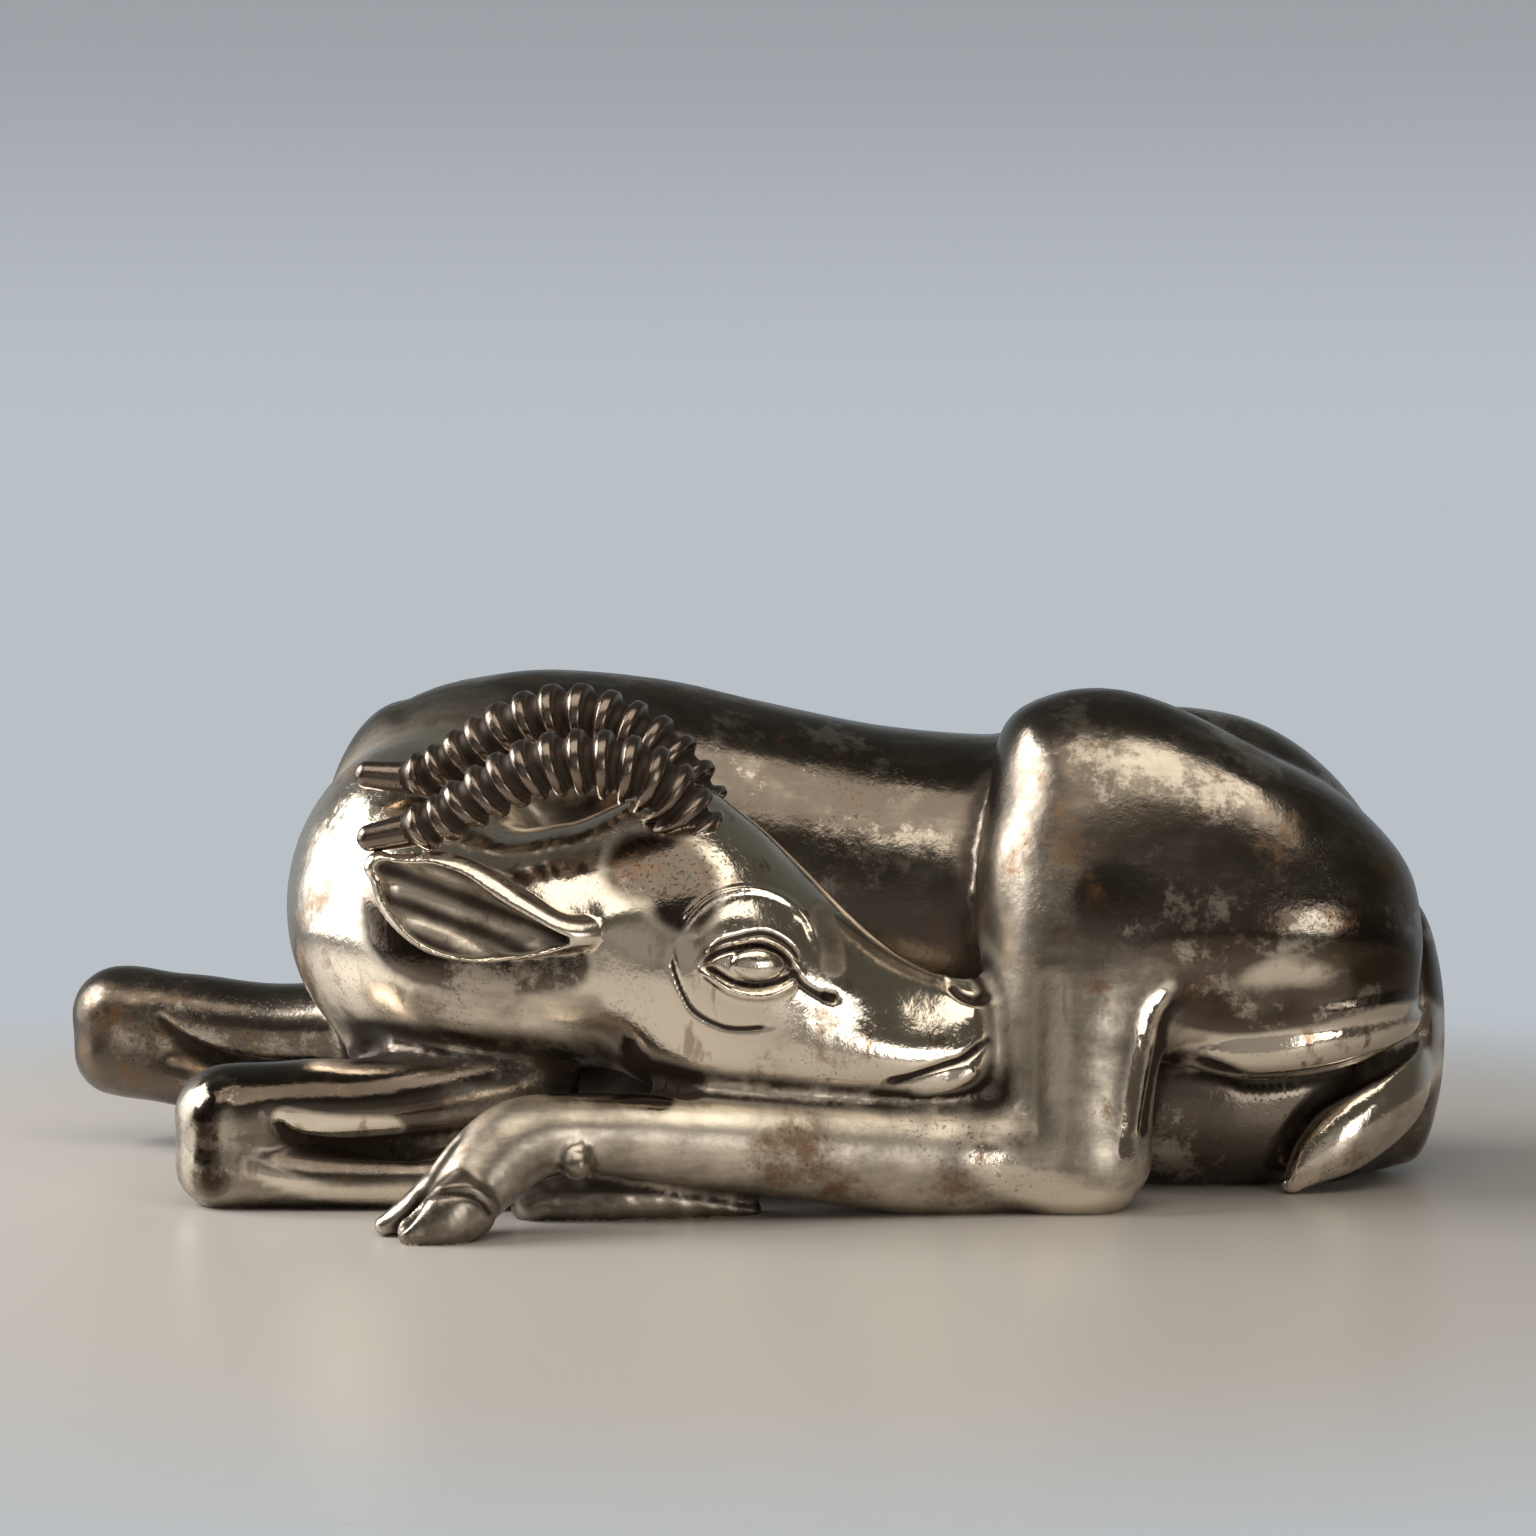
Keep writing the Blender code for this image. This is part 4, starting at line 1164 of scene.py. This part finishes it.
# Each lamp's place, its two sides, its power in watts and its colour.
LAMPS = {
    "key": ((-1.85, 0.05, 1.35), (1.6, 1.2), 50.0, (1.0, 0.985, 0.95)),
    "window": ((-1.95, 0.45, 0.40), (1.6, 1.1), 11.0, (1.0, 0.99, 0.97)),
    "card": ((1.15, -1.55, 0.30), (0.85, 0.70), 4.6, (1.0, 0.97, 0.92)),
    "panel": ((0.15, -1.0, 2.0), (2.6, 1.5), 20.0, (1.0, 0.92, 0.81)),
}
LAMP_TARGET = Vector((0, 0, 0.1))


def floor_material(stage):
    """A soft sheen under the animal that gives way to the backdrop all round."""
    material = bpy.data.materials.new("floor")
    material.use_nodes = True
    tree = material.node_tree
    graph = Graph(tree)
    place = graph.value("ShaderNodeTexCoord", {}, (), "Object")
    away = graph.value("ShaderNodeVectorMath", {"operation": "LENGTH"}, [place], "Value")
    shader = tree.nodes["Principled BSDF"]
    shader.inputs["Base Color"].default_value = (*stage.floor, 1.0)
    shader.inputs["Roughness"].default_value = FLOOR_ROUGHNESS
    clear = graph.node("ShaderNodeBsdfTransparent")
    faded = away.between(*FLOOR_EDGE)
    both = graph.node("ShaderNodeMixShader", {}, [faded, shader.outputs[0], clear.outputs[0]])
    tree.links.new(both.outputs[0], tree.nodes["Material Output"].inputs["Surface"])
    return material


def studio_world(stage):
    """A dim room round the animal, and behind it the pale backdrop that the camera sees."""
    world = bpy.data.worlds.new("studio")
    world.use_nodes = True
    tree = world.node_tree
    tree.nodes.clear()
    graph = Graph(tree)
    way = graph.node("ShaderNodeTexCoord").outputs["Generated"]
    parts = graph.node("ShaderNodeSeparateXYZ", {}, [way])
    y, z = (Value(graph, parts.outputs[name]) for name in ("Y", "Z"))
    behind = y.between(-0.1, 0.9)
    overhead = z.between(0.15, 0.60)
    ahead = (0 - y).between(0.78, 0.97)
    room = graph.mix(behind, ROOM_SIDES, ROOM_BEHIND)
    room = graph.mix(ahead, room, ROOM_AHEAD)
    room = graph.mix(overhead * 0.8, room, ROOM_CEILING)
    room = graph.mix(1 - z.between(-0.35, -0.02), room, ROOM_GROUND)
    backdrop = graph.mix(z.between(0.02, 0.13), stage.backdrop_low, stage.backdrop_high)
    camera = graph.value("ShaderNodeLightPath", {}, (), "Is Camera Ray")
    back = graph.node("ShaderNodeBackground", {}, {"Strength": 1.0})
    tree.links.new(graph.mix(camera, room, backdrop).socket, back.inputs["Color"])
    out = graph.node("ShaderNodeOutputWorld")
    tree.links.new(back.outputs[0], out.inputs["Surface"])
    return world


def studio(stage):
    """Floor, world, lamps and camera."""
    corners = FLOOR_SIDE * np.array(((-1, -1, 0), (1, -1, 0), (1, 1, 0), (-1, 1, 0)))
    floor = linked("floor", new_mesh("floor", corners, np.array(((0, 1, 2, 3),))))
    floor.data.materials.append(floor_material(stage))
    bpy.context.scene.world = studio_world(stage)

    for name, (place, size, power, colour) in LAMPS.items():
        area_lamp(name, place, size, power * stage.lamps, colour)

    lens = bpy.data.cameras.new("camera")
    lens.lens = LENS_MM
    lens.sensor_width = SENSOR_MM
    viewer = bpy.data.objects.new("camera", lens)
    viewer.location = Vector(DATUM) + Vector(CAMERA_PLACE)
    viewer.rotation_euler = (math.pi / 2 - CAMERA_PITCH, 0.0, 0.0)
    bpy.context.scene.collection.objects.link(viewer)
    bpy.context.scene.camera = viewer
    bpy.context.scene.view_settings.view_transform = "Standard"


def area_lamp(name, place, size, power, colour):
    """A rectangular soft lamp that faces the animal."""
    lamp = bpy.data.lights.new(name, "AREA")
    lamp.shape = "RECTANGLE"
    lamp.size, lamp.size_y = size
    lamp.energy = power
    lamp.color = colour
    holder = bpy.data.objects.new(name, lamp)
    holder.location = place
    holder.rotation_euler = (LAMP_TARGET - Vector(place)).to_track_quat("-Z", "Y").to_euler()
    bpy.context.scene.collection.objects.link(holder)


def length_setting(name, description, default):
    return bpy.props.FloatProperty(name=name, description=description, unit="LENGTH", default=default, min=0)


def share_setting(name, description, default, most):
    return bpy.props.FloatProperty(
        name=name, description=description, subtype="FACTOR", default=default, min=0, max=most
    )


def colour_setting(name, description, default):
    return bpy.props.FloatVectorProperty(
        name=name, description=description, subtype="COLOR", default=default
    )


class CastingSettings(bpy.types.PropertyGroup):
    """Sizes of the horns and the depth of the carved forms."""

    horn_root_radius: length_setting("Horn root radius", "Radius under the rings at the root", 0.0116)
    horn_tip_radius: length_setting("Horn tip radius", "Radius of the smooth tip", 0.0056)
    horn_ring_rise: length_setting("Ring height", "Height of the rings at the root", 0.0047)
    horn_rings: bpy.props.IntProperty(
        name="Rings", description="Number of rings on each horn", default=14, min=4, max=24
    )
    carving: share_setting("Carving", "Depth of the eye, mouth and hoof lines", 1.0, 2.0)


class FinishSettings(bpy.types.PropertyGroup):
    """Colours and polish of the metal."""

    bright: colour_setting("Bright metal", "Where the metal is polished", (0.89, 0.80, 0.67))
    tarnished: colour_setting("Tarnished metal", "Where it has dulled", (0.160, 0.134, 0.109))
    # The patina colour also paints the shade in the creases and under the body.
    patina: colour_setting("Patina", "In hollows and pits", (0.034, 0.020, 0.010))
    horn: colour_setting("Horns", "Brown of the horns", (0.17, 0.125, 0.10))
    rust: colour_setting("Stains", "Rusty stains and runs", (0.24, 0.13, 0.055))
    roughness: share_setting("Roughness", "Roughness of the polished metal", 0.12, 1.0)
    unevenness: length_setting("Unevenness", "Height of the dents left by hand work", 0.004)


class StageSettings(bpy.types.PropertyGroup):
    """Colours of the stage and strength of its lamps."""

    floor: colour_setting("Floor", "Colour under the animal", (0.585, 0.553, 0.525))
    backdrop_low: colour_setting("Backdrop, low", "Colour at the horizon", (0.49, 0.53, 0.565))
    backdrop_high: colour_setting("Backdrop, high", "Colour above", (0.33, 0.355, 0.38))
    lamps: share_setting("Lamps", "Strength of all lamps", 1.0, 3.0)


class ANTELOPE_OT_casting(bpy.types.Operator):
    """Builds the casting in place of the plain solid"""

    bl_idname = "antelope.casting"
    bl_label = "Casting"

    def execute(self, context):
        body = whole_casting(context.scene.antelope_casting)
        body.name = "antelope_casting"
        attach(body, "root")
        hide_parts("antelope")
        return {"FINISHED"}


class ANTELOPE_OT_finish(bpy.types.Operator):
    """Gives the casting its metal"""

    bl_idname = "antelope.finish"
    bl_label = "Finish"

    def execute(self, context):
        body = bpy.data.objects["antelope_casting"]
        body.data.materials.clear()
        body.data.materials.append(silvered_bronze(context.scene.antelope_finish))
        return {"FINISHED"}


class ANTELOPE_OT_stage(bpy.types.Operator):
    """Adds the floor, the lamps, the world and the camera"""

    bl_idname = "antelope.stage"
    bl_label = "Stage"

    def execute(self, context):
        studio(context.scene.antelope_stage)
        return {"FINISHED"}


class ANTELOPE_PT_panel(bpy.types.Panel):
    bl_idname = "ANTELOPE_PT_panel"
    bl_label = "Antelope"
    bl_space_type = "VIEW_3D"
    bl_region_type = "UI"
    bl_category = "Antelope"

    def draw(self, context):
        for operator, (name, settings) in zip(OPERATORS, SETTINGS.items()):
            box = self.layout.box()
            for key in settings.__annotations__:
                box.prop(getattr(context.scene, name), key)
            box.operator(operator.bl_idname)


OPERATORS = (ANTELOPE_OT_casting, ANTELOPE_OT_finish, ANTELOPE_OT_stage)
SETTINGS = {
    "antelope_casting": CastingSettings,
    "antelope_finish": FinishSettings,
    "antelope_stage": StageSettings,
}
CLASSES = (*SETTINGS.values(), *OPERATORS, ANTELOPE_PT_panel)


def register():
    for one in CLASSES:
        bpy.utils.register_class(one)
    for name, settings in SETTINGS.items():
        setattr(bpy.types.Scene, name, bpy.props.PointerProperty(type=settings))


def unregister():
    for name in SETTINGS:
        delattr(bpy.types.Scene, name)
    for one in reversed(CLASSES):
        bpy.utils.unregister_class(one)


def main():
    register()
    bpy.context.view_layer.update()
    bpy.ops.antelope.casting()
    bpy.ops.antelope.finish()
    bpy.ops.antelope.stage()


if __name__ == "__main__":
    main()
